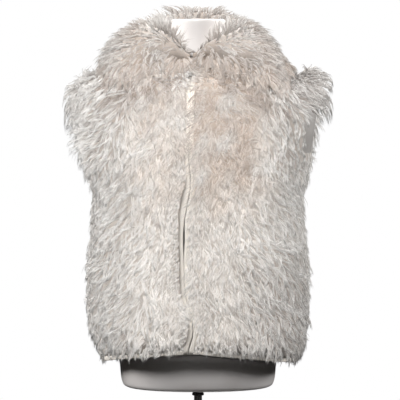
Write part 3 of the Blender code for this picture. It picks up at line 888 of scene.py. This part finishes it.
def grow(name, roots, steps, radius, spread_mm, rng, finish, clump=1.0):
    """Locks of fur, one for each root: tapered closed strands that part at the root and meet at a wavy tip.

    The roots give each lock's point and normal, the cloth's pile and the share of it that is ground, and the
    lock's flow, mess, length, lift, droop and wave. Where gather is 1 the strands start from one point. tone,
    warm and depth go into its colour, and tone and depth carry painted shade: darker roots and duller locks
    in place of shadows. The fur casts no shadow, because strands as thick as these would cast far harder ones
    than fine pile does.
    """
    locks = len(roots["point"])
    normal = unit(roots["normal"])
    flow = unit(roots["flow"] - normal * dot(roots["flow"], normal)[:, None])
    side = np.cross(normal, flow)
    turn = rng.normal(0, 1, locks) * roots["mess"]
    flow, side = (
        flow * np.cos(turn)[:, None] + side * np.sin(turn)[:, None],
        side * np.cos(turn)[:, None] - flow * np.sin(turn)[:, None],
    )
    lift = roots["lift"] + rng.normal(0, 0.12, locks)
    droop = roots["droop"] + rng.normal(0, 0.14, locks)
    length = roots["length"] * rng.uniform(0.78, 1.15, locks)
    wave = roots["wave"] * length * rng.uniform(0.4, 1.3, locks)
    cycles = rng.uniform(0.55, 1.25, locks)
    phase = rng.uniform(0, 2 * math.pi, locks)
    curl = rng.normal(0, 0.13, locks) * length
    tone = np.clip(roots["tone"] + rng.normal(0, 0.05, locks) * (1 + 2 * roots["depth"]), 0, 1)

    def each(values):
        return np.repeat(values, STRANDS, axis=0)

    count = locks * STRANDS
    t = np.linspace(0, 1, steps)[None]
    own_length = each(length) * rng.uniform(0.72, 1.1, count)
    own_lift = each(lift) + rng.normal(0, 0.1, count)
    swing = each(droop) - own_lift
    swing = np.where(np.abs(swing) < 0.05, -0.05, swing)[:, None]
    angle = own_lift[:, None] + swing * t
    forward = own_length[:, None] * (np.sin(angle) - np.sin(own_lift)[:, None]) / swing
    raised = own_length[:, None] * (np.cos(own_lift)[:, None] - np.cos(angle)) / swing
    wander = each(wave)[:, None] * t * np.sin(2 * math.pi * each(cycles)[:, None] * t + each(phase)[:, None])
    wander = wander + each(curl)[:, None] * t**2
    away = spread_mm * (1 - 0.3 * each(roots["depth"])) * (1 - each(roots["gather"]))
    away = away * np.sqrt(rng.random(count))
    around = rng.uniform(0, 2 * math.pi, count)
    meet = np.where(rng.random(count) < 0.16, rng.uniform(0.0, 0.4, count), rng.uniform(0.7, 0.95, count))
    apart = away[:, None] * (1 - clump * meet[:, None] * smooth(t / 0.8))
    stray = rng.normal(0, 0.05, (count, 1)) * own_length[:, None] * t**2
    forward = forward + apart * np.cos(around)[:, None]
    wander = wander + apart * np.sin(around)[:, None] + stray
    sunk = np.minimum(roots["pile"] * (roots["ground"] - 0.03), ROOT_MOST)
    root = roots["point"] + normal * sunk[:, None]
    flow, side, normal, root = (each(vectors)[:, None] for vectors in (flow, side, normal, root))
    line = root + flow * forward[..., None] + side * wander[..., None] + normal * raised[..., None]
    line = held_in(line)
    along = unit(np.gradient(line, axis=1))
    cross = unit(np.cross(along, side + 0.01 * normal))
    other = np.cross(along, cross)
    size = radius * (rng.uniform(0.75, 1.2, count) * (1 + 0.45 * each(roots["depth"])))[:, None]
    size = (size * (1 - 0.72 * t**1.6))[..., None]
    start = math.pi / 3 + rng.normal(0, 0.25, count)[:, None]
    rings = []
    for k in range(3):
        turn = (start + 2 * math.pi * k / 3)[..., None]
        rings.append(line + size * (np.cos(turn) * cross + np.sin(turn) * other))
    body = np.stack(rings, axis=2)[:, :-1].reshape(count, -1, 3)
    points = np.concatenate((body, line[:, -1:]), axis=1)
    per = points.shape[1]
    faces = [(0, 2, 1)]
    for i in range(steps - 2):
        for k in range(3):
            a, b = 3 * i + k, 3 * i + (k + 1) % 3
            faces += [(a, b, b + 3), (a, b + 3, a + 3)]
    faces += [(3 * (steps - 2) + k, 3 * (steps - 2) + (k + 1) % 3, per - 1) for k in range(3)]
    faces = (np.array(faces)[None] + per * np.arange(count)[:, None, None]).reshape(-1, 3)
    share = np.append(np.repeat(t[0, :-1], 3), 1.0)
    own_tone = np.clip(each(tone) + rng.normal(0, 0.06, count), 0, 1)
    fields = {
        "along": np.tile(share, count),
        "tone": np.repeat(own_tone, per),
        "depth": np.repeat(each(roots["depth"]), per),
        "warm": np.repeat(np.clip(each(roots["warm"]) + rng.normal(0, 0.1, count), 0, 1), per),
    }
    made = array_piece(name, points.reshape(-1, 3), faces, [finish], fields=fields)
    made.visible_shadow = False
    return placed(made, "pile_cloth")


def grow_halves(name, grid, axis, locks, seed, look, finish):
    """Fur on the right and left halves of a grid that runs from right to left along this axis."""
    middle = grid["point"].shape[axis] // 2
    pelts = []
    for word, start, end in (("right", 0, middle + 1), ("left", middle, None)):
        keep = (slice(None),) * axis + (slice(start, end),)
        rng = np.random.default_rng(seed + start)
        roots = scatter({key: field[keep] for key, field in grid.items()}, locks, rng)
        pelts.append(grow(f"{name}_{word}", roots, LONG_STEPS, *look, rng, finish))
    return pelts


def skin(name, grid, seed, finishes, node):
    """The cloth itself: a smooth lining inside, and the pile's lumpy felted ground outside."""
    x, z = grid["point"][..., 0], grid["point"][..., 2]
    lumps = grid["ground"] + 0.05 * drift(x + grid["point"][..., 1], z, 38, seed)
    depth = np.clip(grid["pile"] * lumps, GROUND_LEAST, GROUND_MOST)
    outer = grid["point"] + grid["normal"] * depth[..., None]
    points, faces, outside = closed_wall(grid["point"], outer)
    face_finish = np.zeros(len(faces))
    face_finish[outside : 2 * outside] = 1
    if "facing" in grid:
        face_finish[:outside] = grid["facing"][:-1, :-1].ravel() > 0.5
    # depth and tone carry the fur's painted shade into the ground's colour
    fields = {key: np.tile(grid[key].ravel(), 2) for key in ("depth", "tone", "warm")}
    return placed(array_piece(name, points, faces, finishes, face_finish, fields), "pile_cloth", node)


# How the fur lies. Zones are shares from 0 to 1, heights and lengths are millimetres, turns are degrees, and
# lift and droop are a strand's angles off the cloth at its root and tip, in radians.


def comb(grid, degrees):
    """Lays the fur down the cloth, turned outward by this many degrees."""
    turn = np.radians(degrees)[..., None]
    grid["flow"] = -grid["up"] * np.cos(turn) + grid["out"] * np.sin(turn)


def body_zones(grid, side):
    """What the fronts and the back share. Sets how much of the pile is ground. Gives x, the height, the
    distances from the middle and above the hem, and how far a point is on the flank, on the shoulder's ridge
    and in the hem's right corner."""
    x, z = grid["point"][..., 0], grid["point"][..., 2]
    outside = np.abs(x)
    above_hem = z - hem_height(side, grid["reach"])
    flank = above(outside, 140, 45) * below(z, 470, 60)
    ridge = above(z - ridge_height(x), -60, 40) * above(outside, 160, 25)
    corner = above(-x, 120, 55) * below(z, 150, 60)
    ground = blend(blend(0.74, 0.60, flank), 0.25, corner)
    grid["ground"] = ground * blend(0.35, 1, above(above_hem, BAND_WIDTH, 22))
    return x, z, outside, above_hem, flank, ridge, corner


def lay_front(grid, hand):
    """How the fur of one front lies, and its tones: calm and fine in the middle, long at the sides."""
    x, z, outside, above_hem, flank, ridge, corner = body_zones(grid, FRONT)
    edge, left = grid["edge"], hand == LEFT
    from_edge = hand * (x - read(FRONT_OPENING, "edge_x", z)) - band_width(hand, z)
    from_leaf = z - leaf_height(x)
    closed = np.clip(read(OPENING_CLOSED, "left" if left else "right", z), 0, 1)
    near = smooth(1 - from_edge / 30)
    under = above(from_leaf, -12, 20)
    matted = above(z, 330, 120) * below(hand * x, 150, 60) * (1.0 if left else 0.45)
    hollow = above(z, 592, 22) * below(outside, 115, 40)
    calm = np.maximum(matted, 0.9 * below(outside, 105, 60)) * (1 - hollow)
    low = above(outside, 50, 60) * below(z, 320, 90) * below(outside, 215, 30)
    tip = above(z, 520, 50) * above(edge, 0.72, 0.2)
    # The left armhole has a bare patch, and the fur parts beside it. The right one has a longer fringe.
    bare = above(edge, 0.76, 0.12) * above(z, 470, 20) * below(z, 575, 20) * left
    parted = above(edge, 0.52, 0.2) * above(z, 450, 25) * below(z, 575, 25) * left
    fringe = above(edge, 0.7, 0.2) * above(z, 470, 25) * below(z, 555, 25) * (not left)
    grid["pile"] = grid["pile"] + 8 * hollow

    tilt = 8 + 24 * smooth(outside / 200)
    tilt = blend(tilt, 9, below(z, 190, 120))
    tilt = blend(tilt, 66, above(z, 430, 160) * above(edge, 0.45, 0.5))
    tilt = tilt + 26 * drift(x, z, 70, 11 + hand)
    comb(grid, blend(blend(tilt, 2, parted), blend(42, -44, closed), near))
    grid["mess"] = np.radians(16 + 24 * matted * (1 - near))
    grid["gather"] = 0.85 * near * (1 - closed)
    lift = blend(blend(blend(0.50, 0.42, calm), 0.30, near), 0.60, under)
    lift = blend(blend(blend(lift, 0.38, flank), 0.12, corner), 1.05, hollow)
    grid["lift"] = blend(blend(lift, 0.85, np.maximum(tip, fringe)), 1.10, ridge)
    grid["droop"] = -0.12 - 0.10 * ridge + 0.45 * hollow
    length = np.maximum(grid["pile"] * blend(1.6, 1.25, flank), blend(14, 36, closed) * near)
    length = blend(length + 6 * tip + 12 * fringe + 9 * ridge, 30, hollow)
    room = above_hem + blend(12, 5, above(x, -10, 40)) + (8 if left else -3) * above(outside, 130, 50)
    room = room - 5 * corner + 5 * drift(x, z, 26, 23)
    grid["length"] = np.minimum(length * (1 - 0.4 * parted), np.maximum(7, room))
    grid["wave"] = blend(0.11, 0.13, matted)
    hidden = above(from_leaf, 30, 20) * below(outside, 180, 20)
    grid["density"] = (blend(1.0 + 1.4 * near, 0.3, hidden) + 0.8 * hollow + 0.9 * ridge) * (1 - 0.97 * bare)
    grid["facing"] = bare
    grid["calm"] = np.clip(1.15 * calm, 0, 1) * (1 - 0.6 * below(z, 130, 40))

    # Painted shade: the fur in the crease under the collar's leaf is coloured darker and warmer, where the
    # leaf's shadow falls
    painted_crease_shade = bell(from_leaf, -37, 13) * above(outside, 15, 40) * below(outside, 185, 30)
    painted_crease_shade = painted_crease_shade * np.clip(0.6 + 0.7 * drift(x, z, 34, 87), 0, 1) * (1.2 if left else 1.1)
    warm = np.clip(0.06 + matted * (0.70 + 0.8 * drift(x, z, 62, 5)), 0, 1)
    grid["warm"] = np.clip(warm + 0.6 * painted_crease_shade, 0, 1)
    # Painted light and shade in the tone: darker on the upper chest, the middle, the calm fur, the ridge and
    # the left front's shoulder and lower flank, and lighter in the throat's hollow. It is also lower where
    # matted and drifts at random.
    tone = blend(0.74, 0.58, matted) + 0.07 * drift(x, z, 60, 21) + 0.15 * hollow - 0.1 * ridge
    tone = tone - 0.12 * below(outside, 190, 60) - 0.08 * calm - 0.18 * above(z, 500, 70)
    grid["tone"] = tone - (0.75 * ridge + 0.26 * low) * left - 0.8 * painted_crease_shade
    # Painted shade: depth darkens the fur's roots and the ground between the locks, more towards the flanks
    # and less where the fur is calm
    middle, rise = (0.40, 0.30) if left else (0.28, 0.45)
    depth = np.clip(middle + rise * above(outside, 100, 80) - 0.4 * calm, 0, 1)
    grid["depth"] = np.clip(depth + 0.8 * painted_crease_shade, 0, 1)


def lay_back(grid):
    """How the fur of the back lies: plainly down, and outward over the shoulders."""
    x, z, outside, above_hem, flank, ridge, corner = body_zones(grid, BACK)
    tilt = 4 + 30 * smooth(outside / 200)
    tilt = blend(tilt, 7, below(z, 190, 120))
    tilt = blend(tilt, 62, above(z, 430, 160) * above(grid["edge"], 0.5, 0.5))
    comb(grid, tilt + 20 * drift(x, z, 90, 31))
    grid["mess"] = np.radians(16) + 0 * x
    grid["gather"] = 0 * x
    grid["lift"] = blend(blend(blend(0.50, 0.38, flank), 0.12, corner), 1.10, ridge)
    grid["droop"] = -0.12 - 0.10 * ridge
    room = above_hem + 5 - 14 * corner - 8 * flank + 5 * drift(x, z, 26, 33)
    grid["length"] = np.minimum(grid["pile"] * blend(1.6, 1.25, flank) + 9 * ridge, np.maximum(7, room))
    grid["wave"] = 0.11 + 0 * x
    grid["density"] = blend(1.0, 0.4, above(z, COVERED_HEIGHT + 25, 20) * below(outside, 190, 20))
    grid["warm"] = np.clip(0.14 + 0.14 * drift(x, z, 70, 35), 0, 1)
    grid["tone"] = 0.80 + 0.07 * drift(x, z, 60, 41)
    # Painted shade: depth darkens the fur's roots and the ground towards the sides
    grid["depth"] = np.clip(0.35 + 0.55 * above(outside, 60, 110) + 0.15 * drift(x, z, 90, 37), 0, 1)


def lay_collar(grid):
    """How the fur of the collar lies: raised on the roll, down over the leaf, full where the leaves meet."""
    x, y, z = (grid["point"][..., axis] for axis in range(3))
    share, along, left = grid["share"], grid["along"], grid["hand"] > 0
    roll = bell(share, 0.36, 0.17)
    rim = above(share, 0.70, 0.22)
    meeting = smooth(1 - along / 0.2)
    throat = above(along, np.where(left, 0.07, 0.13), 0.16) * below(along, 0.8, 0.2) * below(share, 0.40, 0.2)
    flank = above(along, 0.25, 0.15) * below(along, 0.86, 0.1)
    crest = above(along, 0.80, 0.15)

    comb(grid, 24 * drift(x + y, z, 60, 51) + 55 * grid["hand"] * smooth(1 - along / 0.12))
    grid["mess"] = np.radians(17 + 16 * roll)
    grid["gather"] = 0 * x
    grid["lift"] = blend(0.85 + 0.45 * roll, 0.45, rim) * (1 - 0.75 * meeting * roll)
    grid["droop"] = -0.05 + 0.60 * roll - 0.70 * rim + 0.7 * throat - 0.15 * rim * meeting
    rise = 1.1 - blend(0.45, 0.50, left) * flank - 0.22 * meeting
    length = grid["pile"] * blend(1.5, rise, roll) + 22 * throat + 10 * rim + 14 * rim * meeting
    length = length + 8 * smooth(1 - along / 0.08) * above(share, 0.5, 0.15)
    grid["length"] = length * (1 + 0.30 * roll * (1 - meeting) * drift(x + y, z, 30, 77))
    grid["wave"] = 0.10 + 0 * x
    density = blend(0.55, 1.0, above(share, 0.06, 0.16)) + 1.0 * rim + 0.9 * crest * roll + 0.8 * throat
    density = density + 1.2 * smooth(1 - along / 0.06) + 2.2 * meeting * roll
    grid["density"] = density + 2.5 * rim * smooth(1 - along / 0.18)
    grid["ground"] = blend(0.70, 0.42, rim) * (1 - 0.45 * meeting * roll)
    grid["warm"] = np.clip(0.34 + 0.22 * drift(x, z, 60, 55) + 0.45 * rim, 0, 1)
    # Painted shade: the collar's tone is kept low to darken it where it faces the lamps above, more on the
    # crest, the roll and the left half and less on the rim, with random drift. depth darkens the roots, more
    # on the rim.
    grid["tone"] = 0.17 + 0.08 * drift(x, z, 50, 61) - 0.08 * crest - 0.12 * roll + 0.06 * rim - 0.06 * left
    grid["depth"] = np.clip(0.4 + 0.25 * drift(x, z, 70, 67) + 0.25 * rim, 0, 1)


# Bands


def seam_line(side, reach, climb):
    """A line of points along the vest, half a seam's gap out, and the normals there."""
    points = vest_point(side, reach, climb) + np.array((0, side * SEAM_GAP / 2, 0))
    return points, vest_normal(side, reach, climb)


def strip(name, inner, outer, finish, node):
    """A smooth band with rounded edges between two lines, each given as its points and normals."""
    normal = unit(inner[1] + outer[1])
    shares = np.array((0.16, 0.06, 0.0, 0.06, 0.16, 0.5, 0.84, 0.94, 1.0, 0.94, 0.84, 0.5))
    heights = np.array((0.0, 0.08, 0.5, 0.92, 1.0, 1.0, 1.0, 0.92, 0.5, 0.08, 0.0, 0.0))
    line = inner[0][:, None] + (outer[0] - inner[0])[:, None] * shares[None, :, None]
    line = line + normal[:, None] * (heights * BAND_WALL)[None, :, None]
    rows, around = line.shape[:2]
    k = np.arange(rows * around).reshape(rows, around)
    following = np.roll(k, -1, axis=1)
    faces = np.stack((k[:-1], k[1:], following[1:], following[:-1]), axis=-1).reshape(-1, 4)
    centre = line.mean(axis=1)
    points = np.concatenate((line.reshape(-1, 3), centre[[0, -1]]))
    outward = points[faces].mean(axis=1) - np.repeat(centre[:-1], around, axis=0)
    first, last = rows * around, rows * around + 1
    caps = []
    for j in range(0, around, 2):
        m, n = (j + 1) % around, (j + 2) % around
        caps.append((first, k[0, j], k[0, m], k[0, n]))
        caps.append((last, k[-1, n], k[-1, m], k[-1, j]))
    faces = facing_out(points, np.concatenate((faces, np.array(caps))), outward)
    placed(array_piece(name, points, faces, [finish]), "smooth_cloth", node)


# What a user would change


class VestSizes(bpy.types.PropertyGroup):
    """Amount and size of the fur"""

    front_locks: IntProperty(
        name="Locks on each front", description="Locks of fur grown on one front", default=1740, min=100
    )
    down_locks: IntProperty(
        name="Fine locks on each front", description="Short fine locks in the calm middle of one front",
        default=1500, min=100
    )
    back_locks: IntProperty(
        name="Locks on each half of the back", description="Locks of fur on half the back",
        default=1450, min=100
    )
    collar_locks: IntProperty(
        name="Locks on each half of the collar", description="Locks of fur on half the collar",
        default=1380, min=100
    )
    strand_radius: FloatProperty(
        name="Strand radius", description="Half the width of a strand at its root", default=0.00070,
        min=0.0003, max=0.003, unit="LENGTH"
    )
    lock_radius: FloatProperty(
        name="Lock radius", description="How far a lock's strands part at the root", default=0.0046,
        min=0.001, max=0.03, unit="LENGTH"
    )


class VestColours(bpy.types.PropertyGroup):
    """Colours of the fur, the cloth and the form"""

    pile_tip: FloatVectorProperty(
        name="Pile tip", description="Fibre colour at the tip", subtype="COLOR", default=linear("#e3e2e0")
    )
    # Painted shade: the root colour is darker than the tip's, standing in for the shade deep in the fur
    pile_root_shaded: FloatVectorProperty(
        name="Pile root", description="Fibre colour at the root", subtype="COLOR", default=linear("#d2cdc7")
    )
    # Painted shade: the root colour where the pile is deep, standing in for the shade between the locks
    pile_deep_root_shaded: FloatVectorProperty(
        name="Deep pile root", description="Fibre colour at the root of the longest pile", subtype="COLOR",
        default=linear("#857e78")
    )
    pile_warm: FloatVectorProperty(
        name="Matted pile", description="Fibre colour where the pile is matted", subtype="COLOR",
        default=linear("#cab8a9")
    )
    band: FloatVectorProperty(
        name="Bands", description="Smooth cloth on the edges", subtype="COLOR", default=linear("#e5e0d8")
    )
    # Painted shade: a darker grey than the cloth's own, for the shade inside the armhole where the lining
    # shows
    lining: FloatVectorProperty(
        name="Lining", description="Inside of the pile cloth", subtype="COLOR", default=linear("#9b9793")
    )
    form: FloatVectorProperty(
        name="Dress form", description="Paint of the form", subtype="COLOR", default=linear("#dcd8d6")
    )


# Operators


class VEST_OT_stage(bpy.types.Operator):
    """Adds the floor, the lights and the camera"""

    bl_idname = "vest.stage"
    bl_label = "Studio"

    def execute(self, context):
        scene = context.scene
        scene.view_settings.view_transform = "Standard"
        shape = bmesh.new()
        bmesh.ops.create_circle(shape, cap_ends=True, segments=128, radius=FLOOR_RADIUS)
        floor = shape_piece("studio_floor", shape, floor_material())
        # The floor throws no light back up, which keeps the form dark under the hem
        floor.visible_diffuse = False
        floor.visible_glossy = False

        world = bpy.data.worlds.new("studio")
        world.use_nodes = True
        tree = world.node_tree
        tree.nodes.clear()
        ray = add(tree, "ShaderNodeLightPath", "Is Camera Ray", {})
        backdrop = add(tree, "ShaderNodeBackground", 0, {"Color": (1, 1, 1, 1), "Strength": 1.0})
        where = add(tree, "ShaderNodeTexCoord", "Generated", {})
        height = add(tree, "ShaderNodeSeparateXYZ", "Z", {"Vector": where})
        glow = painted(tree, (0.02, 0.019, 0.018), ((0.48, 0.48, 0.48), height, 0.15, 0.95))
        room = add(tree, "ShaderNodeBackground", 0, {"Color": glow, "Strength": 1.0})
        mix = add(tree, "ShaderNodeMixShader", 0, {0: ray, 1: room, 2: backdrop})
        add(tree, "ShaderNodeOutputWorld", 0, {"Surface": mix})
        scene.world = world

        self.light("key", (-2.6, -1.35, 2.9), size=1.7, watts=222)
        self.light("fill", (3.0, -0.9, 2.7), size=1.7, watts=174)
        self.light("rear", (0.4, 2.6, 2.4), size=2.6, watts=130)
        # A beam from the front whose sharp lower edge lies at the hem, so the form below it stays in shade
        beam = bpy.data.lights.new("front", "SPOT")
        beam.energy = 195
        beam.spot_size = math.radians(52)
        beam.spot_blend = 0.02
        beam.shadow_soft_size = 0.02
        self.aim(link("front", beam), (-0.5, -4.2, 1.35), (0, 0, 2.144))

        data = bpy.data.cameras.new("camera")
        data.sensor_width = CAMERA_SENSOR
        data.lens = CAMERA_LENS
        camera = link("camera", data)
        rise = math.radians(CAMERA_ELEVATION)
        back = Vector((0, -math.cos(rise), math.sin(rise)))
        self.aim(camera, Vector(CAMERA_TARGET) + back * CAMERA_DISTANCE, CAMERA_TARGET)
        scene.camera = camera
        return {"FINISHED"}

    def light(self, name, place, size, watts):
        """A round soft light aimed at the vest."""
        data = bpy.data.lights.new(name, "AREA")
        data.shape = "DISK"
        data.size = size
        data.energy = watts
        self.aim(link(name, data), place, LIGHT_TARGET)

    def aim(self, item, place, target):
        """Puts a light or the camera in its place and points it at the target."""
        item.location = place
        item.rotation_euler = (Vector(target) - Vector(place)).to_track_quat("-Z", "Y").to_euler()


class VEST_OT_form(bpy.types.Operator):
    """Builds the limbless dress form that the vest hangs on"""

    bl_idname = "vest.form"
    bl_label = "Dress form"

    def execute(self, context):
        # More rings than the sections give keep the neck and the foot smooth
        heights = {float(section.height) for section in FORM_SECTIONS}
        heights |= set(np.linspace(664, 742, 12)) | set(np.linspace(24, 140, 16)) | {11.0, 14.0, 17.5}
        heights = np.array(sorted(heights))
        columns = {name: read(FORM_SECTIONS, name, heights) for name in FORM_SECTIONS[0]._fields[1:]}
        shape = bmesh.new()
        ring = bmesh.ops.create_circle(shape, segments=FORM_SIDES, radius=1.0)["verts"]
        turns = [math.atan2(vert.co.x, -vert.co.y) for vert in ring]
        edges = list(shape.edges)
        for i, height in enumerate(heights):
            if i:
                grown = bmesh.ops.extrude_edge_only(shape, edges=edges)["geom"]
                edges = [item for item in grown if isinstance(item, bmesh.types.BMEdge)]
                ring = [item for item in grown if isinstance(item, bmesh.types.BMVert)]
                # A new ring still lies on the last one, and each point takes the turn of the nearest one
                turns = [last[min(last, key=lambda key: (Vector(key) - vert.co).length)] for vert in ring]
            last = {}
            for vert, turn in zip(ring, turns):
                vert.co = self.place(columns, i, height, turn)
                last[tuple(vert.co)] = turn
        self.close(shape, edges)
        bmesh.ops.recalc_face_normals(shape, faces=shape.faces)
        paint = form_material(context.scene.vest_colours)
        placed(shape_piece("form_shell", shape, paint, FORM_SHARP), "white_form", "dress_form")
        return {"FINISHED"}

    def place(self, columns, i, height, turn):
        """A point of the form's ring at this height, at this turn from the front."""
        power = 2 / columns["squareness"][i]
        across, outward = math.sin(turn), math.cos(turn)
        depth = columns["front"][i] if outward > 0 else columns["back"][i]
        x = columns["half_width"][i] * math.copysign(abs(across) ** power, across)
        y = -depth * math.copysign(abs(outward) ** power, outward) + columns["lean"][i]
        z = height + (NECK_TOP_SLOPE * y if height == FORM_SECTIONS[-1].height else 0)
        return Vector((x, y, z + DATUM)) * MM

    def close(self, shape, top_edges):
        """Caps the form: a flat underside, and a neck top with a rounded rim and a shallow dish."""
        top = bmesh.ops.contextual_create(shape, geom=top_edges)["faces"]
        low = [edge for edge in shape.edges if edge.is_boundary]
        bmesh.ops.contextual_create(shape, geom=low)
        rim = [edge for face in top for edge in face.edges]
        bmesh.ops.bevel(shape, geom=rim, offset=NECK_RIM_ROUND * MM, offset_type="OFFSET", affect="EDGES",
                        segments=4, profile=0.5, material=-1)
        caps = [face for face in shape.faces if len(face.verts) > 8]
        top = max(caps, key=lambda face: face.calc_center_median().z)
        bmesh.ops.inset_region(shape, faces=[top], thickness=NECK_RIM_WIDTH * MM, depth=0.0)
        bmesh.ops.inset_region(shape, faces=[top], thickness=NECK_DISH_WIDTH * MM,
                               depth=-NECK_DISH_DEPTH * MM)


class VEST_OT_stand(bpy.types.Operator):
    """Builds the round base, the pole and the socket under the form"""

    bl_idname = "vest.stand"
    bl_label = "Stand"

    def execute(self, context):
        steel = steel_material()
        pole_top = DATUM + FORM_SECTIONS[0].height - SOCKET_HEIGHT - 2 * SEAM_GAP
        low = pole_top + SEAM_GAP
        edge, top = BASE_RADIUS, BASE_THICKNESS
        base = ((0, 0), (edge - 0.6, 0), (edge, 0.6), (edge, 6.0), (edge - 0.4, 7.5), (edge - 1.3, 8.5),
                (edge - 3, top), (0, top))
        pole = ((0, top + SEAM_GAP), (POLE_RADIUS, top + SEAM_GAP), (POLE_RADIUS, pole_top - 0.6),
                (POLE_RADIUS - 0.6, pole_top), (0, pole_top))
        lip, neck, high = SOCKET_RADIUS, SOCKET_RADIUS - 1.2, low + SOCKET_HEIGHT
        socket = ((0, low), (lip - 0.7, low), (lip, low + 0.7), (lip, low + 3.3), (neck, low + 4.3),
                  (neck, high), (0, high))
        self.turned("base_plate", base, 96, steel, "satin_steel", "stand_base")
        self.turned("pole_tube", pole, 40, steel, "satin_steel", "stand_pole")
        self.turned("socket_cup", socket, 48, plastic_material(), "black_plastic", "stand_socket")
        return {"FINISHED"}

    def turned(self, name, profile, sides, finish, slot, node):
        """A piece turned about the pole's axis from a profile of radii and heights above the floor."""
        shape = bmesh.new()
        corners = [shape.verts.new((radius * MM, 0, height * MM)) for radius, height in profile]
        edges = [shape.edges.new(pair) for pair in zip(corners, corners[1:])]
        bmesh.ops.spin(shape, geom=corners + edges, cent=(0, 0, 0), axis=(0, 0, 1), angle=2 * math.pi,
                       steps=sides, use_merge=True)
        bmesh.ops.remove_doubles(shape, verts=shape.verts, dist=1e-6)
        bmesh.ops.recalc_face_normals(shape, faces=shape.faces)
        placed(shape_piece(name, shape, finish, STAND_SHARP), slot, node)


class VEST_OT_bands(bpy.types.Operator):
    """Builds the smooth bands along the front edges and the hem"""

    bl_idname = "vest.bands"
    bl_label = "Bands"

    def execute(self, context):
        colours = context.scene.vest_colours
        cloth = woven_material("smooth cream edge cloth", colours.band, "#ddd5cb", 0.9, 0.6)
        rows = np.concatenate(([0.0], panel_rows()))
        for hand, word in HANDS:
            lines = []
            for inset in (0.0, 1 - SEAM_GAP / BAND_WIDTH):
                reach = opening_reach(hand, rows, inset)
                lines.append(seam_line(FRONT, reach, row_climb(FRONT, reach, rows)))
            strip(f"edge_band_{word}", *lines, cloth, f"front_band_{word}")
            starts = [opening_reach(hand, np.array(row), 1.0) for row in (0.0, 0.3)]
            self.hem(f"hem_strip_{word}", FRONT, starts, hand, cloth, f"hem_band_{word}")
        self.hem("hem_strip_back", BACK, (RIGHT, RIGHT), LEFT, cloth, "hem_band_back")
        return {"FINISHED"}

    def hem(self, name, side, starts, end, cloth, node):
        """A band along the hem, from where its lower and upper edges start to a side seam."""
        top = LOWEST_ROW * BAND_WIDTH / (BAND_WIDTH + SEAM_GAP)
        lines = [
            seam_line(side, np.linspace(start, end, HEM_POINTS), row / BODY_ROWS)
            for row, start in zip((0.0, top), starts)
        ]
        strip(name, *lines, cloth, node)


class VEST_OT_panels(bpy.types.Operator):
    """Builds the two fronts and the back: cloth, and the fur that grows on it"""

    bl_idname = "vest.panels"
    bl_label = "Fronts and back"

    def execute(self, context):
        sizes, colours = context.scene.vest_sizes, context.scene.vest_colours
        fur = fur_material(colours)
        # The lining's greys are darkened as painted shade for the inside seen in the armhole
        lining = woven_material("smooth lining cloth", colours.lining, "#86827e", 1.1, 0.75)
        look = (sizes.strand_radius / MM, sizes.lock_radius / MM)
        for hand, word in HANDS:
            grid = panel_grid(FRONT, hand)
            lay_front(grid, hand)
            ground = undercoat_material(f"felted pile ground {word}", -hand * UNDERCOAT_LEAN)
            cloth = skin(f"cloth_front_{word}", grid, FRONT_LUMPS + hand, [ground, lining], f"front_{word}")
            rng = np.random.default_rng(FRONT_SEED + hand)
            long = {**grid, "density": grid["density"] * (1 - 0.85 * grid["calm"])}
            roots = scatter(long, sizes.front_locks, rng)
            pelt = grow(f"fur_front_{word}", roots, LONG_STEPS, *look, rng, fur)
            length = DOWN_SHORTER * grid["length"]
            short = {**grid, "density": grid["density"] * grid["calm"], "length": length}
            roots = scatter(short, sizes.down_locks, rng)
            fine = (DOWN_THINNER * look[0], DOWN_WIDER * look[1])
            down = grow(f"down_front_{word}", roots, DOWN_STEPS, *fine, rng, fur, DOWN_CLUMP)
        grid = panel_grid(BACK)
        lay_back(grid)
        ground = undercoat_material("felted pile ground", 0)
        cloth = skin("cloth_back", grid, BACK_LUMPS, [ground, lining], "back")
        pelts = grow_halves("fur_back", grid, 1, sizes.back_locks, BACK_SEED, look, fur)
        return {"FINISHED"}


class VEST_OT_collar(bpy.types.Operator):
    """Builds the fold-over collar and its fur"""

    bl_idname = "vest.collar"
    bl_label = "Collar"

    def execute(self, context):
        sizes = context.scene.vest_sizes
        ground, lining, fur = (
            bpy.data.materials[name]
            for name in ("felted pile ground", "smooth lining cloth", "brushed ivory pile")
        )
        look = (sizes.strand_radius / MM, sizes.lock_radius / MM)
        grid = collar_grid()
        lay_collar(grid)
        cloth = skin("cloth_collar", grid, COLLAR_LUMPS, [ground, lining], "collar")
        pelts = grow_halves("fur_collar", grid, 0, sizes.collar_locks, COLLAR_SEED, look, fur)
        return {"FINISHED"}


class VEST_PT_panel(bpy.types.Panel):
    """Lists the sizes, the colours and the operators"""

    bl_label = "Vest"
    bl_idname = "VEST_PT_panel"
    bl_space_type = "VIEW_3D"
    bl_region_type = "UI"
    bl_category = "Vest"

    def draw(self, context):
        for group in (context.scene.vest_sizes, context.scene.vest_colours):
            for name in group.__annotations__:
                self.layout.prop(group, name)
        for operator in OPERATORS:
            self.layout.operator(operator.bl_idname)


OPERATORS = (VEST_OT_stage, VEST_OT_form, VEST_OT_stand, VEST_OT_bands, VEST_OT_panels, VEST_OT_collar)
CLASSES = (VestSizes, VestColours, *OPERATORS, VEST_PT_panel)


def register():
    for made in CLASSES:
        bpy.utils.register_class(made)
    bpy.types.Scene.vest_sizes = PointerProperty(type=VestSizes)
    bpy.types.Scene.vest_colours = PointerProperty(type=VestColours)


def unregister():
    del bpy.types.Scene.vest_colours
    del bpy.types.Scene.vest_sizes
    for made in reversed(CLASSES):
        bpy.utils.unregister_class(made)


def main():
    """Builds every piece."""
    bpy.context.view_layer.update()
    register()
    for old in [item for item in bpy.data.objects if item.type in ("CAMERA", "LIGHT")]:
        bpy.data.objects.remove(old)
    bpy.ops.vest.stage()
    bpy.ops.vest.form()
    bpy.ops.vest.stand()
    bpy.ops.vest.bands()
    bpy.ops.vest.panels()
    bpy.ops.vest.collar()


if __name__ == "__main__":
    main()
